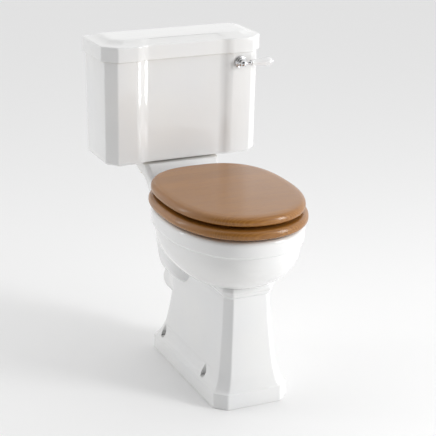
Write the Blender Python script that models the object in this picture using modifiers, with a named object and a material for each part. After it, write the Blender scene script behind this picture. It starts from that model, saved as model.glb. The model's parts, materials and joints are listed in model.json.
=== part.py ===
"""A close coupled toilet in metres: +Z is up, the wall is towards +Y and the bowl's front towards -Y.
The origin is on the floor under the middle of the foot."""

import math

import bmesh
import bpy
from mathutils import Matrix, Vector

# Pan
FOOT_LENGTH = 0.472
FOOT_WIDTH = 0.215
FOOT_CORNER = 0.030
PLINTH_HEIGHT = 0.044
RIM_TOP = 0.489
RIM_HALF_WIDTH = 0.1855
RIM_FRONT = -0.3045
RIM_BACK = 0.172
WIDEST_Y = -0.046
BAND_HEIGHT = 0.0455
BOWL_UNDERSIDE = 0.303
BOWL_FULLNESS = 2.8
SHELF_TOP = 0.545
SHELF_UNDERSIDE = 0.515
SHELF_HALF_WIDTH = 0.113
SHELF_FRONT = 0.256
SHELF_BACK = 0.398
WEB_HALF_THICKNESS = 0.012
FLOOR_SCREWS_X = 0.0876
FLOOR_SCREWS_Y = (-0.111, 0.1756)

# Outlet
SPIGOT_Z = 0.190
SPIGOT_RADIUS = 0.051
SPIGOT_BORE = 0.043
SPIGOT_END = 0.285

# Cistern
WALL_Y = 0.424
CISTERN_BOTTOM = 0.552
CISTERN_TOP = 0.8487
CISTERN_HALF_WIDTH = 0.230
CISTERN_FRONT = 0.2365
CISTERN_TAPER = 0.009
CISTERN_CORNER = 0.029
CISTERN_WALL = 0.0095
CISTERN_FLOOR = CISTERN_BOTTOM + 0.010
PANEL_INNER = 0.1155
PANEL_OUTER = 0.137
PANEL_DEPTH = 0.009
LID_BOTTOM = 0.849
LID_EDGE_TOP = 0.892
LID_TOP = 0.904
LID_HALF_WIDTH = 0.239
LID_FRONT = 0.229
LID_CORNER = 0.0375

# Seat
RING_BOTTOM = 0.498
RING_TOP = 0.523
COVER_BOTTOM = 0.532
COVER_TOP = 0.5565
COVER_HALF_WIDTH = 0.184
COVER_FRONT = -0.307
COVER_BACK = 0.180
RING_MARGIN = 0.008
SEAT_HOLE = (0.113, -0.222, 0.080)
HINGE_Y = 0.187
HINGE_Z = 0.540
HINGE_POST_X = 0.0775
HINGE_BAR_RADIUS = 0.0035

# Flush gear
LEVER_X = 0.166
LEVER_Z = 0.822
LEVER_Y = 0.215
GRIP_START = 0.1885
GRIP_END = 0.2485
ARM_SLOPE = math.radians(18)
ARM_Y = 0.325
ROD_X = 0.078
DOWN_LEG_Y = 0.330
COUPLING_X = 0.085

# Fill valve
VALVE_X = -0.150
VALVE_Y = 0.372
VALVE_TAIL = 0.036

GAP = 0.0003
EGG_POINTS = 32
ROUND = 20

for leftover in list(bpy.data.objects):
    bpy.data.objects.remove(leftover)

PARTS = bpy.data.collections.new("close_coupled_toilet")
CUTTERS = bpy.data.collections.new("cutters")
bpy.context.scene.collection.children.link(PARTS)
bpy.context.scene.collection.children.link(CUTTERS)

FINISHES = {
    "china": ((0.90, 0.90, 0.89), 0.08, 0.0),
    "oak": ((0.56, 0.29, 0.10), 0.30, 0.0),
    "chrome": ((0.80, 0.80, 0.82), 0.06, 1.0),
    "brass": ((0.72, 0.55, 0.25), 0.30, 1.0),
    "steel": ((0.55, 0.56, 0.58), 0.35, 1.0),
    "grip_china": ((0.88, 0.87, 0.83), 0.10, 0.0),
    "rubber": ((0.03, 0.03, 0.03), 0.70, 0.0),
    "white_plastic": ((0.83, 0.83, 0.82), 0.40, 0.0),
    "grey_plastic": ((0.33, 0.34, 0.36), 0.45, 0.0),
}


def finish(piece, kind):
    """A material of the piece's own, in one of the finishes above."""
    colour, roughness, metallic = FINISHES[kind]
    material = bpy.data.materials.new(f"{piece.name}_{kind}")
    material.use_nodes = True
    shader = material.node_tree.nodes["Principled BSDF"]
    shader.inputs["Base Color"].default_value = (*colour, 1)
    shader.inputs["Roughness"].default_value = roughness
    shader.inputs["Metallic"].default_value = metallic
    piece.data.materials.clear()
    piece.data.materials.append(material)


def from_bmesh(name, shape):
    """Turns a bmesh into an object of the cutters' collection, where every shape starts."""
    bmesh.ops.recalc_face_normals(shape, faces=shape.faces)
    mesh = bpy.data.meshes.new(name)
    shape.to_mesh(mesh)
    shape.free()
    mesh.shade_smooth()
    mesh.set_sharp_from_angle(angle=math.radians(35))
    return helper(bpy.data.objects.new(name, mesh))


def helper(piece):
    """A shape that only cuts or joins another: kept, but out of any render."""
    CUTTERS.objects.link(piece)
    piece.hide_render = True
    piece.display_type = "WIRE"
    return piece


def part(piece, kind, pivot=None):
    """Makes a shape one of the toilet's parts, and hangs it on its joint's empty if it moves."""
    CUTTERS.objects.unlink(piece)
    PARTS.objects.link(piece)
    piece.hide_render = False
    piece.display_type = "TEXTURED"
    finish(piece, kind)
    if pivot is not None:
        piece.parent = pivot
        piece.matrix_parent_inverse = Matrix.Translation(-pivot.location)
    return piece


def pivot(name, place):
    """An empty on a joint's axis."""
    empty = bpy.data.objects.new(name, None)
    empty.location = place
    empty.empty_display_size = 0.03
    PARTS.objects.link(empty)
    return empty


def loft(name, levels):
    """A closed body through outlines of equal length, each a (z, [(x, y), ...]) level."""
    shape = bmesh.new()
    loops = [[shape.verts.new((x, y, z)) for x, y in outline] for z, outline in levels]
    for lower, upper in zip(loops, loops[1:]):
        for i in range(len(lower)):
            j = (i + 1) % len(lower)
            shape.faces.new((lower[i], lower[j], upper[j], upper[i]))
    shape.faces.new(loops[0])
    shape.faces.new(loops[-1])
    return from_bmesh(name, shape)


def rod(name, radius, start, end, segments=ROUND):
    """A straight cylinder from one point to another."""
    start, end = Vector(start), Vector(end)
    along = end - start
    place = Matrix.Translation((start + end) / 2) @ along.to_track_quat("Z", "Y").to_matrix().to_4x4()
    shape = bmesh.new()
    bmesh.ops.create_cone(
        shape, cap_ends=True, segments=segments, radius1=radius, radius2=radius,
        depth=along.length, matrix=place,
    )
    return from_bmesh(name, shape)


def box(name, low, high):
    low, high = Vector(low), Vector(high)
    place = Matrix.Translation((low + high) / 2) @ Matrix.Diagonal((*(high - low), 1))
    shape = bmesh.new()
    bmesh.ops.create_cube(shape, size=1, matrix=place)
    return from_bmesh(name, shape)


def turned(name, profile, place, axis=(0, 0, 1), steps=ROUND, ring=False):
    """A turned piece: (radius, height) points down its outer side, spun about an axis through place."""
    mesh = bpy.data.meshes.new(name)
    ends = [(i, i + 1) for i in range(len(profile) - 1)]
    if ring:
        ends.append((len(profile) - 1, 0))
    mesh.from_pydata([(radius, 0, height) for radius, height in profile], ends, [])
    piece = helper(bpy.data.objects.new(name, mesh))
    piece.location = place
    piece.rotation_mode = "QUATERNION"
    piece.rotation_quaternion = Vector(axis).to_track_quat("Z", "Y")
    spin = piece.modifiers.new("spin", "SCREW")
    spin.steps = spin.render_steps = steps
    spin.use_merge_vertices = True
    spin.merge_threshold = 0.00001
    return piece


def washer(name, inner, outer, bottom, top, x, y, steps=ROUND):
    """A flat ring about a vertical axis."""
    profile = [(outer, top), (outer, bottom), (inner, bottom), (inner, top)]
    return turned(name, profile, (x, y, 0), steps=steps, ring=True)


def nut(name, hole, reach, start, end, sides=6):
    """A flat-sided nut with a round hole."""
    along = (Vector(end) - Vector(start)).normalized() * 0.01
    bore = rod(name + "_bore", hole, Vector(start) - along, Vector(end) + along, 24)
    return cut(rod(name, reach, start, end, sides), bore)


def tube(name, points, radius, sides=2):
    """A bent round bar through the points, made a mesh so that it can be cut and joined."""
    curve = bpy.data.curves.new(name, "CURVE")
    curve.dimensions = "3D"
    curve.bevel_depth = radius
    curve.bevel_resolution = sides
    curve.use_fill_caps = True
    spline = curve.splines.new("POLY")
    spline.points.add(len(points) - 1)
    for point, place in zip(spline.points, points):
        point.co = (*place, 1)
    guide = bpy.data.objects.new(name + "_guide", curve)
    bpy.context.scene.collection.objects.link(guide)
    graph = bpy.context.evaluated_depsgraph_get()
    mesh = bpy.data.meshes.new_from_object(guide.evaluated_get(graph))
    bpy.data.objects.remove(guide)
    shape = bmesh.new()
    shape.from_mesh(mesh)
    bpy.data.meshes.remove(mesh)
    bmesh.ops.remove_doubles(shape, verts=shape.verts, dist=0.00001)
    return from_bmesh(name, shape)


def smooth_path(points, per_span=5):
    """A Catmull-Rom curve through the points."""
    places = [Vector(p) for p in points]
    places = [2 * places[0] - places[1]] + places + [2 * places[-1] - places[-2]]
    path = []
    for a, b, c, d in zip(places, places[1:], places[2:], places[3:]):
        for i in range(per_span):
            t = i / per_span
            path.append(
                0.5 * (2 * b + (c - a) * t + (2 * a - 5 * b + 4 * c - d) * t**2
                       + (3 * b - a - 3 * c + d) * t**3)
            )
    return path + [places[-2]]


def boolean(piece, operation, others):
    for other in others:
        modifier = piece.modifiers.new(f"{operation.lower()} {other.name}", "BOOLEAN")
        modifier.operation = operation
        modifier.solver = "EXACT"
        modifier.object = other
    return piece


def cut(piece, *others):
    return boolean(piece, "DIFFERENCE", others)


def join(piece, *others):
    return boolean(piece, "UNION", others)


def egg(half_width, front, back, widest=WIDEST_Y):
    """A seat's outline: half a superellipse in front of the widest line and a squarer half behind it."""
    points = []
    for i in range(EGG_POINTS):
        angle = 2 * math.pi * i / EGG_POINTS
        across, along = math.cos(angle), math.sin(angle)
        reach, power = (widest - front, 2.2) if along < 0 else (back - widest, 2.7)
        radius = (abs(across) ** power + abs(along) ** power) ** (-1 / power)
        points.append((half_width * across * radius, widest + reach * along * radius))
    return points


def chamfered(half_width, front, back, front_cut, back_cut):
    """A rectangle with its four corners cut off."""
    left = [
        (-half_width + back_cut, back),
        (-half_width, back - back_cut),
        (-half_width, front + front_cut),
        (-half_width + front_cut, front),
    ]
    return left + [(-x, y) for x, y in reversed(left)]


def panelled(half_width, front, back, corner, inner, outer, depth):
    """The cistern's outline: cut front corners, and a middle panel set back through two soft steps."""
    left = [(-half_width, back), (-half_width, front + corner), (-half_width + corner, front)]
    for t in (0, 0.3, 0.5, 0.7, 1):
        left.append((-outer + (outer - inner) * t, front + depth * t * t * (3 - 2 * t)))
    return left + [(-x, y) for x, y in reversed(left)]


# --- Pan ---------------------------------------------------------------------------------------

def pan_bowl():
    """Rim band, a step under it, and the round underside of the bowl."""
    band_bottom = RIM_TOP - BAND_HEIGHT
    half_width, front, back = 0.178, -0.2975, 0.165
    levels = []
    for depth in (0.98, 0.93, 0.84, 0.70, 0.52, 0.28, 0.04):
        share = (1 - depth**BOWL_FULLNESS) ** 0.5
        z = band_bottom - depth * (band_bottom - BOWL_UNDERSIDE)
        reach_front = WIDEST_Y - (WIDEST_Y - front) * share
        reach_back = WIDEST_Y + (back - WIDEST_Y) * share
        levels.append((z, half_width * share, reach_front, reach_back))
    levels += [
        (band_bottom + 0.002, 0.183, -0.301, 0.170),
        (band_bottom + 0.007, RIM_HALF_WIDTH, RIM_FRONT, RIM_BACK),
        (RIM_TOP - 0.007, RIM_HALF_WIDTH, RIM_FRONT, RIM_BACK),
        (RIM_TOP - 0.002, RIM_HALF_WIDTH - 0.002, RIM_FRONT + 0.002, RIM_BACK - 0.002),
        (RIM_TOP, RIM_HALF_WIDTH - 0.007, RIM_FRONT + 0.007, RIM_BACK - 0.007),
    ]
    return loft("pan", [(z, egg(w, front, back)) for z, w, front, back in levels])


def pan_pedestal():
    """Plinth, cove and upright pedestal with cut front corners, and the neck moulding on top."""
    half, front, back = FOOT_WIDTH / 2, -FOOT_LENGTH / 2, FOOT_LENGTH / 2
    levels = [
        (0.000, half, front, back, FOOT_CORNER),
        (PLINTH_HEIGHT - 0.004, half, front, back, FOOT_CORNER),
        (PLINTH_HEIGHT, half - 0.003, front + 0.003, back - 0.003, FOOT_CORNER),
        (0.054, 0.0980, -0.2290, 0.2260, 0.028),
        (0.072, 0.0905, -0.2225, 0.2130, 0.026),
        (0.100, 0.0840, -0.2165, 0.1990, 0.024),
        (0.150, 0.0780, -0.2095, 0.1850, 0.021),
        (0.220, 0.0715, -0.2035, 0.1730, 0.018),
        (0.300, 0.0665, -0.1985, 0.1660, 0.016),
        (0.305, 0.0725, -0.2060, 0.1680, 0.018),
        (0.313, 0.0745, -0.2085, 0.1700, 0.018),
        (0.325, 0.0735, -0.2070, 0.1700, 0.018),
        (0.333, 0.0690, -0.2010, 0.1700, 0.018),
        (0.345, 0.0690, -0.2010, 0.1700, 0.018),
    ]
    outlines = [(z, chamfered(w, f, b, c, 0.016)) for z, w, f, b, c in levels]
    return loft("pedestal", outlines)


def pan_rear():
    """The body behind the bowl: the trap's bulge below and the hinge deck on top."""
    levels = [
        (0.246, 0.060, 0.100, 0.190),
        (0.256, 0.088, 0.080, 0.215),
        (0.280, 0.104, 0.070, 0.236),
        (0.330, 0.108, 0.060, 0.258),
        (0.400, 0.102, 0.050, 0.284),
        (0.460, 0.100, 0.050, 0.304),
        (RIM_TOP - 0.0002, 0.104, 0.050, 0.312),
    ]
    return loft("rear", [(z, chamfered(w, front, back, 0.02, 0.03)) for z, w, front, back in levels])


def pan_shelf():
    """The raised shelf that carries the cistern, with a sloping front face."""
    levels = [
        (RIM_TOP - 0.03, 0.096, 0.235, 0.304),
        (RIM_TOP, 0.104, 0.222, 0.312),
        (SHELF_UNDERSIDE - 0.0006, 0.107, 0.239, 0.314),
        (SHELF_UNDERSIDE, 0.109, 0.240, SHELF_BACK - 0.004),
        (SHELF_TOP - 0.004, SHELF_HALF_WIDTH, SHELF_FRONT - 0.002, SHELF_BACK),
        (SHELF_TOP, SHELF_HALF_WIDTH - 0.003, SHELF_FRONT + 0.002, SHELF_BACK - 0.003),
    ]
    return loft("shelf", [(z, chamfered(w, f, b, 0.006, 0.02)) for z, w, f, b in levels])


def pan_inlet_boss():
    """The thicker china under the shelf that the flush inlet goes down into."""
    levels = ((0.380, 0.040, 0.270), (0.455, 0.050, 0.350), (SHELF_UNDERSIDE + 0.010, 0.058, 0.378))
    return loft("inlet_boss", [(z, chamfered(w, 0.200, back, 0.01, 0.02)) for z, w, back in levels])


def bowl_hollow():
    levels = [
        (0.196, 0.026, -0.035, 0.040),
        (0.225, 0.036, -0.070, 0.060),
        (0.270, 0.050, -0.115, 0.070),
        (0.300, 0.054, -0.130, 0.075),
        (0.325, 0.080, -0.165, 0.080),
        (0.345, 0.106, -0.205, 0.088),
        (0.375, 0.130, -0.240, 0.098),
        (0.410, 0.138, -0.252, 0.104),
        (0.445, 0.142, -0.258, 0.108),
        (0.456, 0.132, -0.244, 0.098),
        (RIM_TOP + 0.002, 0.128, -0.240, 0.094),
    ]
    return loft("bowl_hollow", [(z, egg(w, f, b, -0.06)) for z, w, f, b in levels])


def foot_hollows():
    """The open underside, in two bays either side of the cross web that stands on the floor."""
    bays = []
    for name, sign, reach in (("front_bay", -1, 0.222), ("back_bay", 1, 0.220)):
        levels = ((-0.005, 0.0945, 1.0), (0.030, 0.0900, 0.99), (0.050, 0.0790, 0.94), (0.120, 0.0660, 0.84),
                  (0.160, 0.0560, 0.70))
        outlines = []
        for z, half_width, share in levels:
            near, far = sorted((sign * WEB_HALF_THICKNESS, sign * reach * share))
            outlines.append((z, chamfered(half_width, near, far, 0.010, 0.010)))
        bays.append(loft(name, outlines))
    return bays


def make_pan():
    pan = pan_bowl()
    down_leg = rod("trap_down_leg", 0.046, (0, 0.188, 0.186), (0, 0.188, 0.300), 20)
    spigot = rod("spigot", SPIGOT_RADIUS, (0, 0.110, SPIGOT_Z), (0, SPIGOT_END, SPIGOT_Z), 24)
    join(pan, pan_pedestal(), pan_rear(), pan_shelf(), pan_inlet_boss(), down_leg, spigot)

    trap_route = smooth_path(
        [(0, -0.010, 0.232), (0, 0.035, 0.222), (0, 0.085, 0.232), (0, 0.125, 0.272), (0, 0.160, 0.283),
         (0, 0.188, 0.258), (0, 0.200, 0.214), (0, 0.232, SPIGOT_Z), (0, 0.262, SPIGOT_Z)], 3
    )
    water_duct = rod("water_duct", 0.016, (0, 0.335, 0.487), (0, 0.085, 0.432), 10)
    cut(
        pan,
        bowl_hollow(),
        tube("trap_passage", trap_route, 0.026, 2),
        rod("spigot_bore", SPIGOT_BORE, (0, 0.238, SPIGOT_Z), (0, SPIGOT_END + 0.01, SPIGOT_Z), 24),
        rod("inlet_seat", 0.047, (0, DOWN_LEG_Y, SHELF_TOP - 0.020), (0, DOWN_LEG_Y, SHELF_TOP + 0.01), 24),
        rod("inlet_hole", 0.030, (0, DOWN_LEG_Y, 0.490), (0, DOWN_LEG_Y, SHELF_TOP), 24),
        water_duct,
        *foot_hollows(),
    )
    for side in (-1, 1):
        cut(
            pan,
            rod(f"coupling_hole_{side}", 0.006, (side * COUPLING_X, DOWN_LEG_Y, 0.48),
                (side * COUPLING_X, DOWN_LEG_Y, 0.56), 12),
            rod(f"hinge_hole_{side}", 0.006, (side * HINGE_POST_X, HINGE_Y, 0.44),
                (side * HINGE_POST_X, HINGE_Y, 0.50), 12),
            box(f"hinge_access_{side}", (min(side * 0.058, side * 0.13), 0.164, 0.405),
                (max(side * 0.058, side * 0.13), 0.222, RIM_TOP - 0.022)),
        )
        for y in FLOOR_SCREWS_Y:
            x = side * FLOOR_SCREWS_X
            cut(
                pan,
                rod(f"screw_hole_{x}_{y}", 0.0042, (x, y, 0.02), (x, y, 0.10), 12),
                rod(f"screw_pocket_{x}_{y}", 0.0105, (x, y, 0.0535), (x, y, 0.12), 16),
            )
    return part(pan, "china")


# --- Cistern -----------------------------------------------------------------------------------

def body_outline(z, inset=0.0):
    """The cistern body's outline at a height: it narrows a little towards the bottom."""
    drop = (CISTERN_TOP - z) / (CISTERN_TOP - CISTERN_BOTTOM)
    return panelled(
        CISTERN_HALF_WIDTH - 0.002 * drop - inset,
        CISTERN_FRONT + CISTERN_TAPER * drop + inset,
        WALL_Y - inset,
        CISTERN_CORNER - 0.4 * inset,
        PANEL_INNER,
        PANEL_OUTER,
        PANEL_DEPTH,
    )


def make_cistern():
    rounding = ((0.000, 0.010), (0.003, 0.0045), (0.010, 0.0))
    levels = [(CISTERN_BOTTOM + up, body_outline(CISTERN_BOTTOM + up, inset)) for up, inset in rounding]
    levels.append((CISTERN_TOP, body_outline(CISTERN_TOP)))
    cistern = loft("cistern", levels)
    hollow = loft(
        "cistern_hollow",
        [
            (CISTERN_FLOOR, body_outline(CISTERN_FLOOR, CISTERN_WALL + 0.006)),
            (CISTERN_FLOOR + 0.012, body_outline(CISTERN_FLOOR + 0.012, CISTERN_WALL)),
            (CISTERN_TOP + 0.004, body_outline(CISTERN_TOP, CISTERN_WALL)),
        ],
    )
    low, high = CISTERN_BOTTOM - 0.01, CISTERN_FLOOR + 0.01
    cut(
        cistern,
        hollow,
        rod("siphon_hole", 0.0225, (0, DOWN_LEG_Y, low), (0, DOWN_LEG_Y, high)),
        rod("inlet_floor_hole", 0.0115, (VALVE_X, VALVE_Y, low), (VALVE_X, VALVE_Y, high)),
        rod("lever_hole", 0.0085, (LEVER_X, 0.22, LEVER_Z), (LEVER_X, 0.28, LEVER_Z)),
    )
    for side in (-1, 1):
        cut(
            cistern,
            rod(f"bolt_hole_{side}", 0.0055, (side * COUPLING_X, DOWN_LEG_Y, low),
                (side * COUPLING_X, DOWN_LEG_Y, high), 12),
            rod(f"wall_screw_hole_{side}", 0.004, (side * 0.165, WALL_Y - 0.03, 0.800),
                (side * 0.165, WALL_Y + 0.01, 0.800), 12),
        )
    return part(cistern, "china")


def lid_outline(inset):
    return panelled(
        LID_HALF_WIDTH - inset,
        LID_FRONT + inset,
        WALL_Y - inset,
        LID_CORNER - 0.4 * inset,
        PANEL_INNER,
        PANEL_OUTER,
        PANEL_DEPTH * max(0.0, 1 - inset / 0.05),
    )


def make_lid(lift):
    levels = ((LID_BOTTOM, 0.002), (LID_BOTTOM + 0.003, 0.0), (LID_EDGE_TOP - 0.004, 0.0),
              (LID_EDGE_TOP, 0.003), (0.8955, 0.024), (0.902, 0.036), (LID_TOP, 0.046))
    lid = loft("cistern_lid", [(z, lid_outline(inset)) for z, inset in levels])
    underside = loft(
        "lid_underside",
        [(LID_BOTTOM - 0.005, lid_outline(0.022)), (0.876, lid_outline(0.024)), (0.884, lid_outline(0.034))],
    )
    return part(cut(lid, underside), "china", lift)


# --- Seat --------------------------------------------------------------------------------------

def seat_outline(inset):
    """The cover's outline, drawn in by an inset."""
    return egg(COVER_HALF_WIDTH - inset, COVER_FRONT + inset, COVER_BACK - inset / 2)


def make_cover(hinge):
    rise = COVER_TOP - COVER_BOTTOM
    levels = ((0.0, 0.008), (0.16, 0.002), (0.36, 0.0), (0.62, 0.003), (0.86, 0.010), (1.0, 0.022))
    cover = loft("seat_cover", [(COVER_BOTTOM + rise * up, seat_outline(inset)) for up, inset in levels])
    return part(cover, "oak", hinge)


def make_ring(hinge):
    """The seat ring: its section rolls over from the outer edge to the edge of the hole."""
    rise = RING_TOP - RING_BOTTOM
    hole_width, hole_front, hole_back = SEAT_HOLE
    section = ((0.0, 0.008), (0.2, 0.002), (0.45, 0.0), (0.75, 0.003), (1.0, 0.014))
    shape = bmesh.new()
    loops = []
    for up, inset in section:
        outline = seat_outline(inset - RING_MARGIN)
        loops.append([(x, min(y, COVER_BACK), RING_BOTTOM + rise * up) for x, y in outline])
    for up, inset in reversed(section):
        hole = egg(hole_width - inset, hole_front + inset, hole_back - inset, -0.070)
        wide = egg(hole_width - inset + 0.014, hole_front + inset - 0.014, hole_back - inset + 0.014, -0.070)
        edge = wide if up > 0.9 else hole
        loops.append([(x, y, RING_BOTTOM + rise * up) for x, y in edge])
    rings = [[shape.verts.new(place) for place in loop] for loop in loops]
    for first, second in zip(rings, rings[1:] + rings[:1]):
        for i in range(EGG_POINTS):
            j = (i + 1) % EGG_POINTS
            shape.faces.new((first[i], first[j], second[j], second[i]))
    return part(from_bmesh("seat_ring", shape), "oak", hinge)


def buffer(name, x, y, bottom, top, hinge):
    """A rubber stop: a disc with a softened lower edge."""
    profile = [(0, top), (0.008, top), (0.008, bottom + 0.002), (0.006, bottom), (0, bottom)]
    part(turned(name, profile, (x, y, 0), steps=16), "rubber", hinge)


def on_bar(name, x, half_length, radius):
    """A cylinder about the hinge's axis, centred at x."""
    return rod(name, radius, (x - half_length, HINGE_Y, HINGE_Z), (x + half_length, HINGE_Y, HINGE_Z))


def hinge_post(name, x):
    """A chrome post with a foot on the deck, an eye round the bar and a stud down through the deck."""
    top = HINGE_Z - 0.004
    profile = [
        (0, top), (0.0055, top), (0.0055, 0.5010), (0.0090, 0.4960), (0.0150, 0.4950), (0.0160, 0.4935),
        (0.0160, RIM_TOP + 0.0025), (0.0040, RIM_TOP + 0.0025), (0.0040, 0.4350), (0, 0.4350),
    ]
    post = turned(name, profile, (x, HINGE_Y, 0))
    eye = on_bar(name + "_eye", x, 0.008, 0.0065)
    bore = on_bar(name + "_bore", x, 0.020, HINGE_BAR_RADIUS + GAP)
    part(cut(join(post, eye), bore), "chrome")


def bracket(name, x, strap_low, strap_high, hinge):
    """A steel strap under the wood with an eye that turns on the hinge bar."""
    width = 0.006
    upright_front, upright_back = HINGE_Y - 0.0063, HINGE_Y - 0.0036
    eye = on_bar(name, x, width, 0.006)
    strap = box(name + "_strap", (x - width, 0.115, strap_low), (x + width, upright_back, strap_high))
    upright = box(name + "_upright", (x - width, upright_front, strap_low),
                  (x + width, upright_back, HINGE_Z - 0.002))
    bore = on_bar(name + "_bore", x, 0.020, HINGE_BAR_RADIUS + GAP)
    part(cut(join(eye, strap, upright), bore), "chrome", hinge)


def make_seat():
    hinge = pivot("seat_hinge_axis", (0, HINGE_Y, HINGE_Z))
    make_ring(hinge)
    make_cover(hinge)
    part(on_bar("hinge_bar", 0, 0.096, HINGE_BAR_RADIUS), "chrome")
    for side, word in ((-1, "left"), (1, "right")):
        x = side * HINGE_POST_X
        hinge_post(f"hinge_post_{word}", x)
        part(washer(f"hinge_washer_{word}", 0.0043, 0.0170, RIM_TOP + GAP, RIM_TOP + 0.0022, x, HINGE_Y),
             "rubber")
        wing_nut = turned(
            f"hinge_nut_{word}",
            [(0.0110, 0.4660), (0.0110, 0.4640), (0.0080, 0.4620), (0.0080, 0.4520), (0.0043, 0.4520),
             (0.0043, 0.4660)],
            (x, HINGE_Y, 0), steps=12, ring=True,
        )
        part(wing_nut, "white_plastic")
        bracket(f"ring_bracket_{word}", side * 0.056, RING_BOTTOM - 0.0033, RING_BOTTOM - GAP, hinge)
        bracket(f"cover_bracket_{word}", side * 0.0425, COVER_BOTTOM - 0.0033, COVER_BOTTOM - GAP, hinge)
        buffer(f"ring_buffer_front_{word}", side * 0.080, -0.252, RIM_TOP + GAP, RING_BOTTOM - GAP, hinge)
        buffer(f"ring_buffer_back_{word}", side * 0.143, 0.050, RIM_TOP + GAP, RING_BOTTOM - GAP, hinge)
        buffer(f"cover_buffer_{word}", side * 0.105, -0.190, RING_TOP + GAP, COVER_BOTTOM - GAP, hinge)


# --- Flush lever and siphon --------------------------------------------------------------------

def on_arm(x, y):
    """A point of the lift arm's centre line, which slopes down from the spindle towards the siphon."""
    return (x, y, LEVER_Z - (LEVER_X - x) * math.tan(ARM_SLOPE))


def make_lever():
    axis = pivot("flush_lever_axis", (LEVER_X, LEVER_Y, LEVER_Z))
    front = (0, -1, 0)
    centre = (LEVER_X, 0, LEVER_Z)
    escutcheon = [
        (0.0110, -0.2280), (0.0140, -0.2290), (0.0155, -0.2310), (0.0172, -0.2320), (0.0172, -0.2352),
        (0.0068, -0.2352), (0.0068, -0.2280),
    ]
    part(turned("lever_escutcheon", escutcheon, centre, front, 28, ring=True), "chrome")
    gasket = [(0.0150, -0.2355), (0.0150, -0.2364), (0.0068, -0.2364), (0.0068, -0.2355)]
    part(turned("lever_gasket", gasket, centre, front, ring=True), "rubber")
    back_nut = nut("lever_back_nut", 0.0068, 0.0150, (LEVER_X, 0.2500, LEVER_Z), (LEVER_X, 0.2570, LEVER_Z))
    part(back_nut, "brass")
    hub = [
        (0, -0.2050), (0.0050, -0.2057), (0.0083, -0.2080), (0.0100, -0.2115), (0.0102, -0.2150),
        (0.0093, -0.2182), (0.0082, -0.2198), (0.0118, -0.2214), (0.0122, -0.2240), (0.0100, -0.2272),
        (0.0063, -0.2276), (0.0063, -0.2760), (0, -0.2760),
    ]
    part(turned("lever_hub", hub, centre, front, 24), "chrome", axis)
    along = (1, 0, 0)
    place = (0, LEVER_Y, LEVER_Z)
    collar = [
        (0, 0.1880), (0.0070, 0.1880), (0.0074, 0.1862), (0.0050, 0.1845), (0.0036, 0.1820),
        (0.0036, LEVER_X + 0.0120), (0, LEVER_X + 0.0120),
    ]
    part(turned("lever_collar", collar, place, along), "chrome", axis)
    grip = [
        (0, GRIP_END), (0.0100, GRIP_END), (0.0122, GRIP_END - 0.003), (0.0125, GRIP_END - 0.010),
        (0.0110, GRIP_END - 0.024), (0.0086, GRIP_END - 0.040), (0.0078, GRIP_START + 0.008),
        (0.0080, GRIP_START + 0.002), (0.0068, GRIP_START), (0, GRIP_START),
    ]
    part(turned("lever_grip", grip, place, along), "grip_china", axis)
    cap = [
        (0, 0.2610), (0.0018, 0.2605), (0.0040, 0.2575), (0.0042, 0.2555), (0.0070, 0.2525),
        (0.0074, GRIP_END + GAP), (0, GRIP_END + GAP),
    ]
    part(turned("lever_end_cap", cap, place, along), "chrome", axis)

    route = [on_arm(LEVER_X, 0.2815), on_arm(0.150, 0.2830), on_arm(0.124, 0.3120), on_arm(0.108, ARM_Y),
             on_arm(0.064, ARM_Y)]
    arm = tube("lift_arm", route, 0.0026)
    join(arm, turned("lift_arm_boss", [(0, -0.2765), (0.0090, -0.2765), (0.0090, -0.2870), (0, -0.2870)],
                     centre, front))
    part(arm, "brass", axis)


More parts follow.
